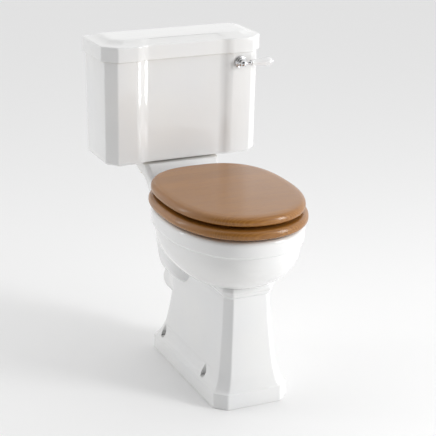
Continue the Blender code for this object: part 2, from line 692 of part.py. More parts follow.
def make_siphon():
    rest = on_arm(ROD_X, ARM_Y)
    axis = pivot("siphon_rod_axis", rest)
    bend = [
        (0.046, DOWN_LEG_Y, 0.655), (0.046, DOWN_LEG_Y, 0.715), (0.039, DOWN_LEG_Y, 0.733),
        (0.023, DOWN_LEG_Y, 0.741), (0.007, DOWN_LEG_Y, 0.733), (0, DOWN_LEG_Y, 0.715),
        (0, DOWN_LEG_Y, 0.506),
    ]
    siphon = rod("siphon_body", 0.040, (0.062, DOWN_LEG_Y, 0.578), (0.062, DOWN_LEG_Y, 0.690), 28)
    join(
        siphon,
        tube("siphon_bend", bend, 0.0205, 3),
        rod("siphon_flange", 0.033, (0, DOWN_LEG_Y, 0.5656), (0, DOWN_LEG_Y, 0.5690), 24),
    )
    bore = bend[:-1] + [(0, DOWN_LEG_Y, 0.490)]
    cut(
        siphon,
        rod("siphon_chamber", 0.0375, (0.062, DOWN_LEG_Y, 0.570), (0.062, DOWN_LEG_Y, 0.680), 28),
        tube("siphon_bore", bore, 0.0165, 3),
        rod("siphon_rod_hole", 0.0045, (ROD_X, ARM_Y, 0.67), (ROD_X, ARM_Y, 0.70), 12),
    )
    part(siphon, "white_plastic")
    plunger = rod("siphon_rod", 0.0025, (ROD_X, ARM_Y, 0.590), (ROD_X, ARM_Y, rest[2] - 0.0105), 12)
    join(plunger, rod("siphon_plate", 0.0350, (0.062, DOWN_LEG_Y, 0.588), (0.062, DOWN_LEG_Y, 0.594), 24))
    part(plunger, "grey_plastic", axis)

    loop = []
    for i in range(13):
        angle = math.radians(-90 + 30 * i)
        loop.append((ROD_X, ARM_Y + 0.0065 * math.cos(angle), rest[2] + 0.008 * math.sin(angle)))
    ring = bmesh.new()
    sides = 6
    rings = []
    for x, y, z in loop[:-1]:
        out = Vector((0, y - ARM_Y, z - rest[2])).normalized()
        points = []
        for k in range(sides):
            turn = 2 * math.pi * k / sides
            offset = 0.0015 * (math.cos(turn) * out + math.sin(turn) * Vector((1, 0, 0)))
            points.append(ring.verts.new(Vector((x, y, z)) + offset))
        rings.append(points)
    for first, second in zip(rings, rings[1:] + rings[:1]):
        for k in range(sides):
            n = (k + 1) % sides
            ring.faces.new((first[k], first[n], second[n], second[k]))
    part(from_bmesh("lift_link", ring), "brass", axis)

    part(washer("siphon_washer", 0.0210, 0.0310, CISTERN_FLOOR + GAP, 0.5653, 0, DOWN_LEG_Y, 24), "rubber")


def make_coupling():
    plate = box("coupling_plate", (-0.102, DOWN_LEG_Y - 0.030, 0.5497), (0.102, DOWN_LEG_Y + 0.030, 0.5517))
    cut(plate, rod("plate_hole", 0.0215, (0, DOWN_LEG_Y, 0.54), (0, DOWN_LEG_Y, 0.56), 24))
    back_nut = nut("siphon_back_nut", 0.0210, 0.0280, (0, DOWN_LEG_Y, 0.5335), (0, DOWN_LEG_Y, 0.5494), 8)
    part(back_nut, "white_plastic")
    part(washer("doughnut_washer", 0.0290, 0.0450, 0.5253, 0.5494, 0, DOWN_LEG_Y, 24), "rubber")
    for side, word in ((-1, "left"), (1, "right")):
        x = side * COUPLING_X
        cut(plate, rod(f"plate_bolt_hole_{word}", 0.0050, (x, DOWN_LEG_Y, 0.54), (x, DOWN_LEG_Y, 0.56), 12))
        bolt = [(0, 0.5705), (0.0060, 0.5705), (0.0085, 0.5685), (0.0085, 0.5656), (0.0040, 0.5656),
                (0.0040, 0.4900), (0, 0.4900)]
        part(turned(f"coupling_bolt_{word}", bolt, (x, DOWN_LEG_Y, 0), steps=12), "brass")
        seal = washer(f"coupling_washer_{word}", 0.0043, 0.0105, CISTERN_FLOOR + GAP, 0.5653, x, DOWN_LEG_Y, 16)
        part(seal, "rubber")
        wing_nut = washer(
            f"coupling_nut_{word}", 0.0043, 0.0085, 0.5050, SHELF_UNDERSIDE - 0.0008, x, DOWN_LEG_Y, 12
        )
        for end in (-1, 1):
            near, far = sorted((x + end * 0.007, x + end * 0.016))
            join(wing_nut, box(f"nut_wing_{word}_{end}", (near, DOWN_LEG_Y - 0.0015, 0.500),
                               (far, DOWN_LEG_Y + 0.0015, 0.512)))
        part(wing_nut, "brass")
    part(plate, "steel")


# --- Fill valve --------------------------------------------------------------------------------

def across_valve(name, x, z, half_length, radius):
    """A cylinder across the fill valve, from front to back."""
    return rod(name, radius, (x, VALVE_Y - half_length, z), (x, VALVE_Y + half_length, z), 12)


def make_fill_valve():
    travel = pivot("fill_valve_float_axis", (VALVE_X, VALVE_Y, 0.690))
    pin_x, pin_z = VALVE_X - 0.0148, 0.805
    arm_axis = pivot("fill_valve_arm_axis", (pin_x, VALVE_Y, pin_z))
    tail_end = CISTERN_BOTTOM - VALVE_TAIL
    body = turned(
        "fill_valve_body",
        [(0, 0.7750), (0.0120, 0.7750), (0.0120, 0.5690), (0.0190, 0.5690), (0.0190, 0.5656),
         (0.0104, 0.5656), (0.0104, tail_end), (0, tail_end)],
        (VALVE_X, VALVE_Y, 0),
    )
    cut(body, rod("valve_bore", 0.0060, (VALVE_X, VALVE_Y, tail_end - 0.01), (VALVE_X, VALVE_Y, 0.60), 16))
    part(body, "white_plastic")
    cap = turned(
        "fill_valve_cap",
        [(0, 0.8000), (0.0165, 0.8000), (0.0190, 0.7975), (0.0190, 0.7753), (0, 0.7753)],
        (VALVE_X, VALVE_Y, 0),
    )
    for end in (-1, 1):
        near, far = sorted((VALVE_Y + end * 0.0055, VALVE_Y + end * 0.0090))
        join(cap, box(f"valve_fork_{end}", (pin_x - 0.003, near, 0.790), (pin_x + 0.003, far, 0.8095)))
    part(cut(cap, across_valve("fork_bore", pin_x, pin_z, 0.020, 0.0018)), "grey_plastic")
    part(across_valve("fill_valve_pin", pin_x, pin_z, 0.0105, 0.0015), "steel")
    arm = box(
        "fill_valve_arm", (pin_x - 0.004, VALVE_Y - 0.0045, pin_z - 0.0025),
        (VALVE_X + 0.030, VALVE_Y + 0.0045, pin_z + 0.0025),
    )
    part(cut(arm, across_valve("arm_bore", pin_x, pin_z, 0.020, 0.0018)), "grey_plastic", arm_axis)
    float_profile = [(0.0280, 0.7150), (0.0300, 0.7120), (0.0300, 0.6630), (0.0280, 0.6600), (0.0136, 0.6600),
                     (0.0136, 0.7150)]
    part(turned("fill_valve_float", float_profile, (VALVE_X, VALVE_Y, 0), ring=True, steps=24),
         "white_plastic", travel)
    link_x = VALVE_X + 0.0240
    link = rod("fill_valve_link", 0.0016, (link_x, VALVE_Y, 0.7153), (link_x, VALVE_Y, 0.8012), 10)
    part(link, "brass", travel)
    part(washer("fill_valve_washer", 0.0108, 0.0180, CISTERN_FLOOR + GAP, 0.5653, VALVE_X, VALVE_Y), "rubber")
    back_nut = nut("fill_valve_back_nut", 0.0108, 0.0165, (VALVE_X, VALVE_Y, 0.5430),
                   (VALVE_X, VALVE_Y, CISTERN_BOTTOM - GAP))
    part(back_nut, "white_plastic")


make_pan()
make_cistern()
make_lid(pivot("cistern_lid_axis", (0, (WALL_Y + LID_FRONT) / 2, LID_BOTTOM)))
make_seat()
make_lever()
make_siphon()
make_coupling()
make_fill_valve()
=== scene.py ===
# %% [markdown]
# # A close coupled toilet, in china, oak and chrome
# The mechanical model is already fixed: where each piece sits, how big it is and how it moves. This lesson
# gives the pieces their finished shapes and surfaces. It starts by loading that model, and it measures the
# whole object's box, because nothing that is made here may reach outside it.

# %% Load the frame
import json
import math

import bmesh
import bpy
from mathutils import Matrix, Vector


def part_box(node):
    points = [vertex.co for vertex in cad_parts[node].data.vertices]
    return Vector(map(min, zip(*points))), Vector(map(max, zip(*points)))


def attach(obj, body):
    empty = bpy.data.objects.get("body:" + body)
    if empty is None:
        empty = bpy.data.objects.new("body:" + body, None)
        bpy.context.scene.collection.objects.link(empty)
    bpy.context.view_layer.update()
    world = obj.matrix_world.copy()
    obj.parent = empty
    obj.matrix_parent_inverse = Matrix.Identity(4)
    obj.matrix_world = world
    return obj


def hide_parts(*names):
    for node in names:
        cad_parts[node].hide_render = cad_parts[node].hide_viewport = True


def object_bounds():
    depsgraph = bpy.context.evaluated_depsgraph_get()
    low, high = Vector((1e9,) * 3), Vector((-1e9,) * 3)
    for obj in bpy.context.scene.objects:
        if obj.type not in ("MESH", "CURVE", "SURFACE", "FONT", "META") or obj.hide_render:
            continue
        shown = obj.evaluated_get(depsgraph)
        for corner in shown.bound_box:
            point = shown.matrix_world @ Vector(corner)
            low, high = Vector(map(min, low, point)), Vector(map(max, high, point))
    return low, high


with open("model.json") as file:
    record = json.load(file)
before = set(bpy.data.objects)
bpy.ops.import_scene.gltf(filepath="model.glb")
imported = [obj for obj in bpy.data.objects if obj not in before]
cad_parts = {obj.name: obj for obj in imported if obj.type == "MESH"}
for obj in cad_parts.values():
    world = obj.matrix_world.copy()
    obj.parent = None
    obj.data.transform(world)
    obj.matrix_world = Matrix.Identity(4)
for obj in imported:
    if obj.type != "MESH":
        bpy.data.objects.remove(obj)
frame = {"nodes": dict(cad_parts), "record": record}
cad_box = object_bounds()
nodes = frame["nodes"]
print(len(nodes), "nodes,", [round(size, 3) for size in cad_box[1] - cad_box[0]], "m")

# %% [markdown]
# ## Working in edit mode from code
# Modelling by hand is a round of three moves: select some faces or edges, run a tool, select the next ones.
# The same works in code, but a tool acts on everything that is selected, so each move starts by selecting
# nothing. These helpers open a piece in edit mode and select elements by a test on their place or direction.


# %% Selecting helpers
def take(piece):
    """Selects one piece alone and makes it the active one."""
    bpy.ops.object.select_all(action="DESELECT")
    piece.select_set(True)
    bpy.context.view_layer.objects.active = piece
    return piece


def fix_place():
    """Moves the active piece's place, turn and size into its mesh."""
    bpy.ops.object.transform_apply(location=True, rotation=True, scale=True)


def open_edit(piece):
    take(piece)
    bpy.ops.object.mode_set(mode="EDIT")


def close_edit():
    bpy.ops.object.mode_set(mode="OBJECT")
    return bpy.context.object


def pick(kind, test):
    """In edit mode, selects only the faces, edges or verts that pass a test."""
    modes = {"faces": "FACE", "edges": "EDGE", "verts": "VERT"}
    bpy.ops.mesh.select_mode(type=modes[kind])
    bpy.ops.mesh.select_all(action="DESELECT")
    mesh = bpy.context.object.data
    shape = bmesh.from_edit_mesh(mesh)
    chosen = [element for element in getattr(shape, kind) if test(element)]
    for element in chosen:
        element.select_set(True)
    shape.select_flush_mode()
    bmesh.update_edit_mesh(mesh, loop_triangles=False, destructive=False)
    return len(chosen)


def fit(low, high):
    """Resizes and moves the selection so that it fills a box."""
    shape = bmesh.from_edit_mesh(bpy.context.object.data)
    places = [vert.co for vert in shape.verts if vert.select]
    was_low = Vector([min(place[i] for place in places) for i in range(3)])
    was_high = Vector([max(place[i] for place in places) for i in range(3)])
    centre = (was_low + was_high) / 2
    scale = [1.0, 1.0, 1.0]
    for i in range(3):
        if was_high[i] - was_low[i] > 1e-7:
            scale[i] = (high[i] - low[i]) / (was_high[i] - was_low[i])
    bpy.ops.transform.resize(value=scale, center_override=centre)
    bpy.ops.transform.translate(value=(Vector(low) + Vector(high)) / 2 - centre)


print("selecting helpers ready")

# %% [markdown]
# ## Outlines and stacks
# Nearly every china piece is a flat outline that changes size as it rises. By hand that is a flat face, then
# extrude, scale, extrude, scale. A plane gives the first face: bevelling its corner vertices with the right
# profile turns the square into the egg of a toilet seat, or cuts the corners of a plinth. `stack` then
# extrudes the face level by level, and `through` fills in smooth levels between a few chosen ones.


# %% Outlines
CORNER_POINTS = 26


def flat_face(name, low, high, z):
    """A rectangle at a height, left open in edit mode."""
    centre = ((low[0] + high[0]) / 2, (low[1] + high[1]) / 2, z)
    bpy.ops.mesh.primitive_plane_add(size=1, location=centre)
    piece = bpy.context.object
    piece.name = piece.data.name = name
    piece.scale = (high[0] - low[0], high[1] - low[1], 1)
    fix_place()
    bpy.ops.object.mode_set(mode="EDIT")
    bpy.ops.mesh.select_all(action="SELECT")
    return piece


def soften(test, radius, segments, profile=0.5):
    """Bevels the flat face's corner points that pass a test: one segment cuts them, more round them."""
    pick("verts", test)
    bpy.ops.mesh.bevel(offset_type="OFFSET", offset=radius, segments=segments, profile=profile,
                       affect="VERTICES", clamp_overlap=False)
    bpy.ops.mesh.select_all(action="SELECT")
    bpy.ops.mesh.remove_doubles(threshold=0.00001)


def egg_profile(power):
    """The bevel profile that draws a superellipse of this power."""
    return math.exp(-math.log(2) / power) ** 2


def egg_face(name, z, half_width, front, back, widest, powers=(2.2, 2.7)):
    """The egg of a seat or a bowl: a longer round half in front of its widest line, a squarer one behind."""
    piece = flat_face(name, (-1, -1), (1, 1), z)
    bpy.ops.mesh.bisect(plane_co=(0, 0, z), plane_no=(0, 1, 0))
    soften(lambda v: v.co.y < -0.9, 1.0, CORNER_POINTS, egg_profile(powers[0]))
    soften(lambda v: v.co.y > 0.9, 1.0, CORNER_POINTS, egg_profile(powers[1]))
    pick("verts", lambda v: v.co.y < -1e-5)
    bpy.ops.transform.resize(value=(1, widest - front, 1), center_override=(0, 0, z))
    pick("verts", lambda v: v.co.y > 1e-5)
    bpy.ops.transform.resize(value=(1, back - widest, 1), center_override=(0, 0, z))
    pick("edges", lambda e: len(e.link_faces) == 2)
    bpy.ops.mesh.dissolve_edges(use_verts=False)
    bpy.ops.mesh.select_all(action="SELECT")
    bpy.ops.transform.resize(value=(half_width, 1, 1), center_override=(0, 0, z))
    bpy.ops.transform.translate(value=(0, widest, 0))
    return piece


def cut_face(name, z, half_width, front, back, front_cut, back_cut, arris=0.004):
    """A rectangle with its corners cut off at 45 degrees, and the arrises between rounded."""
    piece = flat_face(name, (-half_width, front), (half_width, back), z)
    middle = (front + back) / 2
    soften(lambda v: v.co.y < middle, front_cut, 1)
    soften(lambda v: v.co.y > middle, back_cut, 1)
    soften(lambda v: True, arris, 4)
    pick("faces", lambda f: True)
    return piece


def fill_level(level):
    """Fits the selected outline to a level: a height, a half width, and where it starts and ends."""
    z, half_width, front, back = level
    fit((-half_width, front, z), (half_width, back, z))


def stack(levels):
    """Extrudes the selected cap through levels."""
    for level in levels:
        bpy.ops.mesh.extrude_region_move(TRANSFORM_OT_translate={"value": (0, 0, 0)})
        fill_level(level)


def quarter(steps, first=0):
    """The cosine and sine of each even step of a quarter turn, which round an edge."""
    turns = [math.radians(90 * i / steps) for i in range(first, steps + 1)]
    return [(math.cos(turn), math.sin(turn)) for turn in turns]


def through(levels, between=4):
    """The levels, with smooth ones between them: a curve through every number of the neighbouring levels."""
    padded = [levels[0], *levels, levels[-1]]
    path = []
    for a, b, c, d in zip(padded, padded[1:], padded[2:], padded[3:]):
        for i in range(between):
            t = i / between
            path.append(tuple(
                0.5 * (2 * q + (r - p) * t + (2 * p - 5 * q + 4 * r - s) * t**2
                       + (3 * q - p - 3 * r + s) * t**3)
                for p, q, r, s in zip(a, b, c, d)
            ))
    return path + [levels[-1]]


def smooth(piece, sharp=40):
    """Shades a piece smooth, except over the edges that are sharper than an angle."""
    take(piece)
    bpy.ops.object.shade_smooth_by_angle(angle=math.radians(sharp))
    return piece


def close_solid(piece, sharp=40):
    """Leaves edit mode with the faces outwards and the shading smooth up to an angle."""
    bpy.ops.mesh.select_mode(type="FACE")
    bpy.ops.mesh.select_all(action="SELECT")
    bpy.ops.mesh.remove_doubles(threshold=0.000005)
    bpy.ops.mesh.normals_make_consistent(inside=False)
    close_edit()
    return smooth(piece, sharp)


print("outlines and stacks ready")

# %% [markdown]
# ## Joining, cutting and turning
# Holes are drilled and bodies are joined with the Boolean modifier, applied at once so that the next step can
# select the new edges. Every body here is closed, so the Manifold solver can be used, which is quick and copes
# with long thin faces. A turned piece, such as a washer or a knob, is a disc that is extruded and scaled along
# its axis as on a lathe, and its sharp rings are then rounded by a Bevel modifier.


# %% Joining, cutting and turning
def apply_all(piece):
    take(piece)
    for modifier in list(piece.modifiers):
        bpy.ops.object.modifier_apply(modifier=modifier.name)
    return piece


def combine(piece, operation, others):
    """Joins other shapes to a piece, or cuts them from it, and removes them."""
    for other in others:
        modifier = piece.modifiers.new(operation.lower(), "BOOLEAN")
        modifier.operation = operation
        modifier.solver = "MANIFOLD"
        modifier.object = other
        apply_all(piece)
        bpy.data.objects.remove(other)
    return piece


def round_edges(piece, width, segments, angle):
    """Rounds the edges that are sharper than an angle."""
    bevel = piece.modifiers.new("rounding", "BEVEL")
    bevel.width = width
    bevel.segments = segments
    bevel.limit_method = "ANGLE"
    bevel.angle_limit = math.radians(angle)
    return apply_all(piece)


def aim(piece, place, axis):
    """Points a piece that was made about +Z along an axis through a place, and fixes it in its mesh."""
    piece.matrix_world = Matrix.Translation(place) @ Vector(axis).to_track_quat("Z", "Y").to_matrix().to_4x4()
    take(piece)
    fix_place()
    return piece


def lathe(name, profile, place=(0, 0, 0), axis=(0, 0, 1), steps=48, rounding=0.0, bore=False):
    """A turned piece from (radius, height) points. With a bore, the profile is a closed loop."""
    bpy.ops.mesh.primitive_circle_add(vertices=steps, radius=profile[0][0], fill_type="NGON",
                                      location=(0, 0, profile[0][1]))
    piece = bpy.context.object
    piece.name = piece.data.name = name
    fix_place()
    bpy.ops.object.mode_set(mode="EDIT")
    bpy.ops.mesh.select_all(action="SELECT")
    for radius, height in profile[1:]:
        bpy.ops.mesh.extrude_region_move(TRANSFORM_OT_translate={"value": (0, 0, 0)})
        fit((-radius, -radius, height), (radius, radius, height))
    if bore:
        pick("faces", lambda f: len(f.verts) == steps)
        bpy.ops.mesh.bridge_edge_loops()
    close_solid(piece)
    if rounding:
        smooth(round_edges(piece, rounding, 3, 30))
    return aim(piece, place, axis)


def drill(radius, start, end, steps=32):
    """A cylinder that cuts or joins, from one point to another."""
    start, end = Vector(start), Vector(end)
    along = end - start
    bpy.ops.mesh.primitive_cylinder_add(vertices=steps, radius=radius, depth=along.length)
    return aim(bpy.context.object, (start + end) / 2, along)


def well(radius, x, y, bottom, top, steps=32):
    """An upright cylinder from one height to another."""
    return drill(radius, (x, y, bottom), (x, y, top), steps)


def block(low, high):
    """A box that cuts or joins."""
    centre = [(a + b) / 2 for a, b in zip(low, high)]
    bpy.ops.mesh.primitive_cube_add(size=1, location=centre)
    bpy.context.object.scale = [b - a for a, b in zip(low, high)]
    fix_place()
    return bpy.context.object


def settle(piece, body, slot, material, *stands_for):
    """Gives a finished piece its finish and its body, and hides the frame nodes it stands for."""
    piece.data.materials.clear()
    piece.data.materials.append(material)
    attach(piece, body)
    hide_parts(*stands_for)
    print(piece.name, len(piece.data.polygons), "faces")
    return piece


print("joining, cutting and turning ready")

# %% [markdown]
# ## Glazed china
# Vitreous china is white clay under a clear glass glaze about half a millimetre thick. The glaze levels itself
# in the kiln, so it is very smooth, with a long slow waviness that bends reflections a little, a few pinholes,
# and a colour that drifts slightly between warm and cool. Where a piece stood in the kiln it is left bare, and
# there it is matt and the colour of biscuit. All of this is noise on Object coordinates, in metres, so it stays
# at its real size on every piece.


# %% Node helpers
def put(node, values):
    """Gives a node's inputs their values, by name or by number."""
    for key, value in values.items():
        node.inputs[key].default_value = value


def add(tree, kind, values=None, **settings):
    """Adds a node with its settings and the values of its inputs."""
    node = tree.nodes.new("ShaderNode" + kind)
    for key, value in settings.items():
        setattr(node, key, value)
    put(node, values or {})
    return node


def link(source, target):
    """Joins two sockets, in the tree that holds them."""
    source.id_data.links.new(source, target)


def new_material(name):
    """A material with its shader and its node tree."""
    material = bpy.data.materials.new(name)
    material.use_nodes = True
    tree = material.node_tree
    return material, tree.nodes["Principled BSDF"], tree


def ramp(source, stops):
    """A colour ramp on a value: each stop is a position and a colour, or a grey."""
    node = add(source.id_data, "ValToRGB")
    elements = node.color_ramp.elements
    while len(elements) < len(stops):
        elements.new(0.5)
    for element, (position, colour) in zip(elements, stops):
        element.position = position
        element.color = (colour, colour, colour, 1) if isinstance(colour, float) else (*colour, 1)
    link(source, node.inputs["Fac"])
    return node.outputs["Color"]


def noise(place, scale, detail=2.0, roughness=0.5, distortion=0.0):
    values = {"Scale": scale, "Detail": detail, "Roughness": roughness, "Distortion": distortion}
    node = add(place.id_data, "TexNoise", values)
    link(place, node.inputs["Vector"])
    return node.outputs["Fac"]


def spread(source, low, high, start=0.0, end=1.0):
    """Maps a value from one range to another."""
    node = add(source.id_data, "MapRange", {"From Min": start, "From Max": end, "To Min": low, "To Max": high})
    link(source, node.inputs["Value"])
    return node.outputs["Result"]


def raised(height, distance, strength=1.0, under=None):
    """A bump from a height, laid over another bump if there is one."""
    node = add(height.id_data, "Bump", {"Distance": distance, "Strength": strength})
    link(height, node.inputs["Height"])
    if under is not None:
        link(under, node.inputs["Normal"])
    return node.outputs["Normal"]


def mixed(factor, first, second):
    node = add(factor.id_data, "Mix", data_type="RGBA")
    link(factor, node.inputs[0])
    for socket, value in ((node.inputs[6], first), (node.inputs[7], second)):
        if isinstance(value, tuple):
            socket.default_value = (*value, 1)
        else:
            link(value, socket)
    return node.outputs[2]


print("node helpers ready")

# %% Glazed china
CHINA_COOL = (0.83, 0.835, 0.84)
CHINA_WARM = (0.86, 0.857, 0.845)
BISCUIT = (0.62, 0.57, 0.49)


def china(name, bare_below):
    """White glaze, left bare under a height."""
    material, shader, tree = new_material(name)
    place = add(tree, "TexCoord").outputs["Object"]
    drift = noise(place, 5.0, 3.0)
    glaze = ramp(drift, ((0.3, CHINA_COOL), (0.7, CHINA_WARM)))
    pinholes = noise(place, 620.0, 1.0)
    specks = spread(pinholes, 0.0, 1.0, 0.79, 0.83)
    glaze = mixed(specks, glaze, (0.60, 0.58, 0.54))
    height = add(tree, "SeparateXYZ")
    link(place, height.inputs[0])
    ragged = add(tree, "Math", {1: 0.0012}, operation="MULTIPLY_ADD")
    link(noise(place, 90.0), ragged.inputs[0])
    link(height.outputs["Z"], ragged.inputs[2])
    bare = spread(ragged.outputs[0], 1.0, 0.0, bare_below + 0.0006, bare_below + 0.0010)
    link(mixed(bare, glaze, BISCUIT), shader.inputs["Base Color"])
    gloss = spread(noise(place, 14.0, 4.0), 0.05, 0.13)
    dull = add(tree, "Mix", {3: 0.85})
    link(bare, dull.inputs[0])
    link(gloss, dull.inputs[2])
    link(dull.outputs[0], shader.inputs["Roughness"])
    waves = raised(noise(place, 22.0, 1.5), 0.0012, 0.35)
    peel = raised(noise(place, 260.0, 2.0), 0.00012, 0.25, waves)
    link(raised(specks, -0.0002, 0.5, peel), shader.inputs["Normal"])
    put(shader, {"IOR": 1.52})
    return material


PAN_CHINA = china("pan_glaze", 0.0)
CISTERN_CHINA = china("cistern_glaze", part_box("cistern")[0].z)
LID_CHINA = china("lid_glaze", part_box("cistern_lid")[0].z)
GRIP_CHINA = china("grip_glaze", 0.0)
print("glazes:", PAN_CHINA.name, CISTERN_CHINA.name, LID_CHINA.name, GRIP_CHINA.name)

# %% [markdown]
# ## Lacquered oak
# The seat is solid oak, glued up from staves, stained golden and lacquered. What the eye reads as oak is, from
# large to small: staves of slightly different tone, growth rings seen as long wavering bands, short dark pores
# along the grain, and pale flecks across it. A Mapping node stretches each noise along the grain, which runs
# from left to right. The lacquer is a clear coat with a gloss of its own, over wood that is almost matt.


# %% Lacquered oak
OAK_LIGHT = (0.42, 0.190, 0.038)
OAK_MID = (0.28, 0.110, 0.017)
OAK_DARK = (0.13, 0.043, 0.007)
STAVE = 0.062


def stretched(place, scale, shift=(0, 0, 0)):
    node = add(place.id_data, "Mapping", {"Scale": scale, "Location": shift}, vector_type="POINT")
    link(place, node.inputs["Vector"])
    return node.outputs["Vector"]


def oak(name, shift):
    """Golden oak under lacquer, with the grain along X and a pattern of its own for each board."""
    material, shader, tree = new_material(name)
    place = add(tree, "TexCoord").outputs["Object"]
    split = add(tree, "SeparateXYZ")
    link(place, split.inputs[0])
    stave = add(tree, "Math", {1: 1 / STAVE, 2: shift + 0.37}, operation="MULTIPLY_ADD")
    link(split.outputs["Y"], stave.inputs[0])
    number = add(tree, "Math", operation="FLOOR")
    link(stave.outputs[0], number.inputs[0])
    tone = add(tree, "TexWhiteNoise", noise_dimensions="1D")
    link(number.outputs[0], tone.inputs["W"])
    jump = add(tree, "CombineXYZ")
    link(tone.outputs["Value"], jump.inputs["X"])
    link(number.outputs[0], jump.inputs["Z"])
    board = add(tree, "VectorMath", {1: (0.9, 0.0, 0.35)}, operation="MULTIPLY_ADD")
    link(jump.outputs[0], board.inputs[0])
    link(place, board.inputs[2])
    grain_place = board.outputs[0]

    rings_place = stretched(grain_place, (3.0, 26.0, 26.0), (shift, 0, 0))
    rings = add(tree, "TexWave", {"Scale": 1.15, "Distortion": 7.0, "Detail": 3.0, "Detail Scale": 0.9},
                wave_type="BANDS", bands_direction="Y")
    link(rings_place, rings.inputs["Vector"])
    fibres = noise(stretched(grain_place, (14.0, 420.0, 420.0)), 1.0, 4.0, 0.6)
    clouds = noise(stretched(grain_place, (5.0, 18.0, 18.0)), 1.0, 3.0)
    ring_tone = ramp(rings.outputs["Fac"], ((0.0, OAK_MID), (0.55, OAK_LIGHT), (0.95, OAK_MID)))
    fibre_tone = ramp(fibres, ((0.25, OAK_DARK), (0.62, OAK_LIGHT)))
    blend = add(tree, "Mix", {0: 0.35}, data_type="RGBA")
    link(ring_tone, blend.inputs[6])
    link(fibre_tone, blend.inputs[7])
    colour = mixed(spread(clouds, 0.0, 0.45, 0.35, 0.75), blend.outputs[2], OAK_MID)

    pore_noise = noise(stretched(grain_place, (60.0, 1500.0, 1500.0)), 1.0, 1.0)
    pores = spread(pore_noise, 0.0, 1.0, 0.66, 0.74)
    colour = mixed(spread(pores, 0.0, 0.55), colour, OAK_DARK)
    flecks = noise(stretched(grain_place, (300.0, 90.0, 90.0)), 1.0, 1.0)
    fleck = spread(flecks, 0.0, 0.28, 0.70, 0.78)
    colour = mixed(fleck, colour, (0.52, 0.27, 0.09))
    shade = add(tree, "HueSaturation")
    link(spread(tone.outputs["Value"], 0.93, 1.07), shade.inputs["Value"])
    link(colour, shade.inputs["Color"])
    link(shade.outputs[0], shader.inputs["Base Color"])

    link(spread(fibres, 0.30, 0.48), shader.inputs["Roughness"])
    grain_bump = raised(pores, -0.00012, 0.6)
    link(raised(fibres, 0.00006, 0.4, grain_bump), shader.inputs["Normal"])
    put(shader, {"Coat Weight": 0.55, "Specular IOR Level": 0.3, "Coat Roughness": 0.16, "Coat IOR": 1.5})
    lacquer = raised(noise(place, 60.0, 2.0), 0.0004, 0.25)
    link(lacquer, shader.inputs["Coat Normal"])
    return material


COVER_OAK = oak("cover_oak", 0.0)
RING_OAK = oak("ring_oak", 3.7)
print("wood:", COVER_OAK.name, RING_OAK.name)

# %% [markdown]
# ## Metal, rubber and plastic
# Chrome plate mirrors the room and shows fine wiping marks. Brass and steel are duller, with streaks from
# turning or pressing. Rubber and plastic scatter light; what makes them real is a fine grain from the mould and
# a roughness that isn't even. One function makes them all, because they differ only in their numbers.


# %% Metal, rubber and plastic
def simple_finish(name, colours, gloss, metallic, patches, grain, depth):
    """A finish whose colour and roughness drift in patches, over a fine bump."""
    material, shader, tree = new_material(name)
    place = add(tree, "TexCoord").outputs["Object"]
    drift = noise(place, patches, 4.0, 0.6)
    link(ramp(drift, ((0.3, colours[0]), (0.7, colours[1]))), shader.inputs["Base Color"])
    marks = noise(stretched(place, (1.0, 1.0, 2.5)), patches * 3, 5.0, 0.7)
    link(spread(marks, gloss[0], gloss[1], 0.3, 0.7), shader.inputs["Roughness"])
    surface = noise(place, grain, 2.0)
    link(raised(surface, depth, 0.4), shader.inputs["Normal"])
    put(shader, {"Metallic": metallic})
    return material


FINISH_NUMBERS = {
    "chrome": (((0.74, 0.75, 0.77), (0.82, 0.82, 0.83)), (0.03, 0.10), 1.0, 30.0, 300.0, 0.00003),
    "brass": (((0.55, 0.38, 0.15), (0.72, 0.54, 0.24)), (0.22, 0.45), 1.0, 60.0, 900.0, 0.00008),
    "steel": (((0.42, 0.43, 0.44), (0.58, 0.59, 0.60)), (0.28, 0.50), 1.0, 50.0, 1100.0, 0.0001),
    "rubber": (((0.012, 0.012, 0.013), (0.035, 0.034, 0.034)), (0.55, 0.8), 0.0, 80.0, 1500.0, 0.0002),
    "white_plastic": (((0.74, 0.74, 0.72), (0.82, 0.82, 0.80)), (0.32, 0.5), 0.0, 40.0, 1300.0, 0.0001),
    "grey_plastic": (((0.13, 0.135, 0.145), (0.20, 0.205, 0.215)), (0.35, 0.55), 0.0, 40.0, 1300.0, 0.0001),
}
FINISHES = {name: simple_finish(name, *numbers) for name, numbers in FINISH_NUMBERS.items()}
CHROME, RUBBER = FINISHES["chrome"], FINISHES["rubber"]
FINISHES.update(vitreous_china=PAN_CHINA, oak=COVER_OAK, grip_china=GRIP_CHINA)
print(len(FINISHES), "finishes")

# %% Finishes on the frame's own nodes
for subpart in frame["record"]["subparts"]:
    piece = nodes[subpart["node"]]
    piece.data.materials.clear()
    piece.data.materials.append(FINISHES[subpart["material_slot"]])
print("finishes on", len(nodes), "nodes")

# %% [markdown]
# ## The pan's outside
# The pan is one china casting, but it reads as five bodies that grow into each other: the round bowl with its
# upright rim band, the pedestal on its plinth, the body behind the bowl that holds the trap, the shelf for the
# cistern, and the outlet spigot. Each is a stack of its own outline. They are joined by Booleans, which leave
# the crisp lines where the bowl meets the moulding on top of the pedestal.

# %% The bowl
bar_low, bar_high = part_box("hinge_bar")
HINGE_Y = (bar_low.y + bar_high.y) / 2
HINGE_Z = (bar_low.z + bar_high.z) / 2
RIM_TOP = 0.489
RIM_HALF_WIDTH = 0.1855
RIM_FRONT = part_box("pan")[0].y
RIM_BACK = 0.172
WIDEST = -0.046
BAND_BOTTOM = RIM_TOP - 0.0455
UNDERSIDE = 0.297
FULLNESS = 2.3


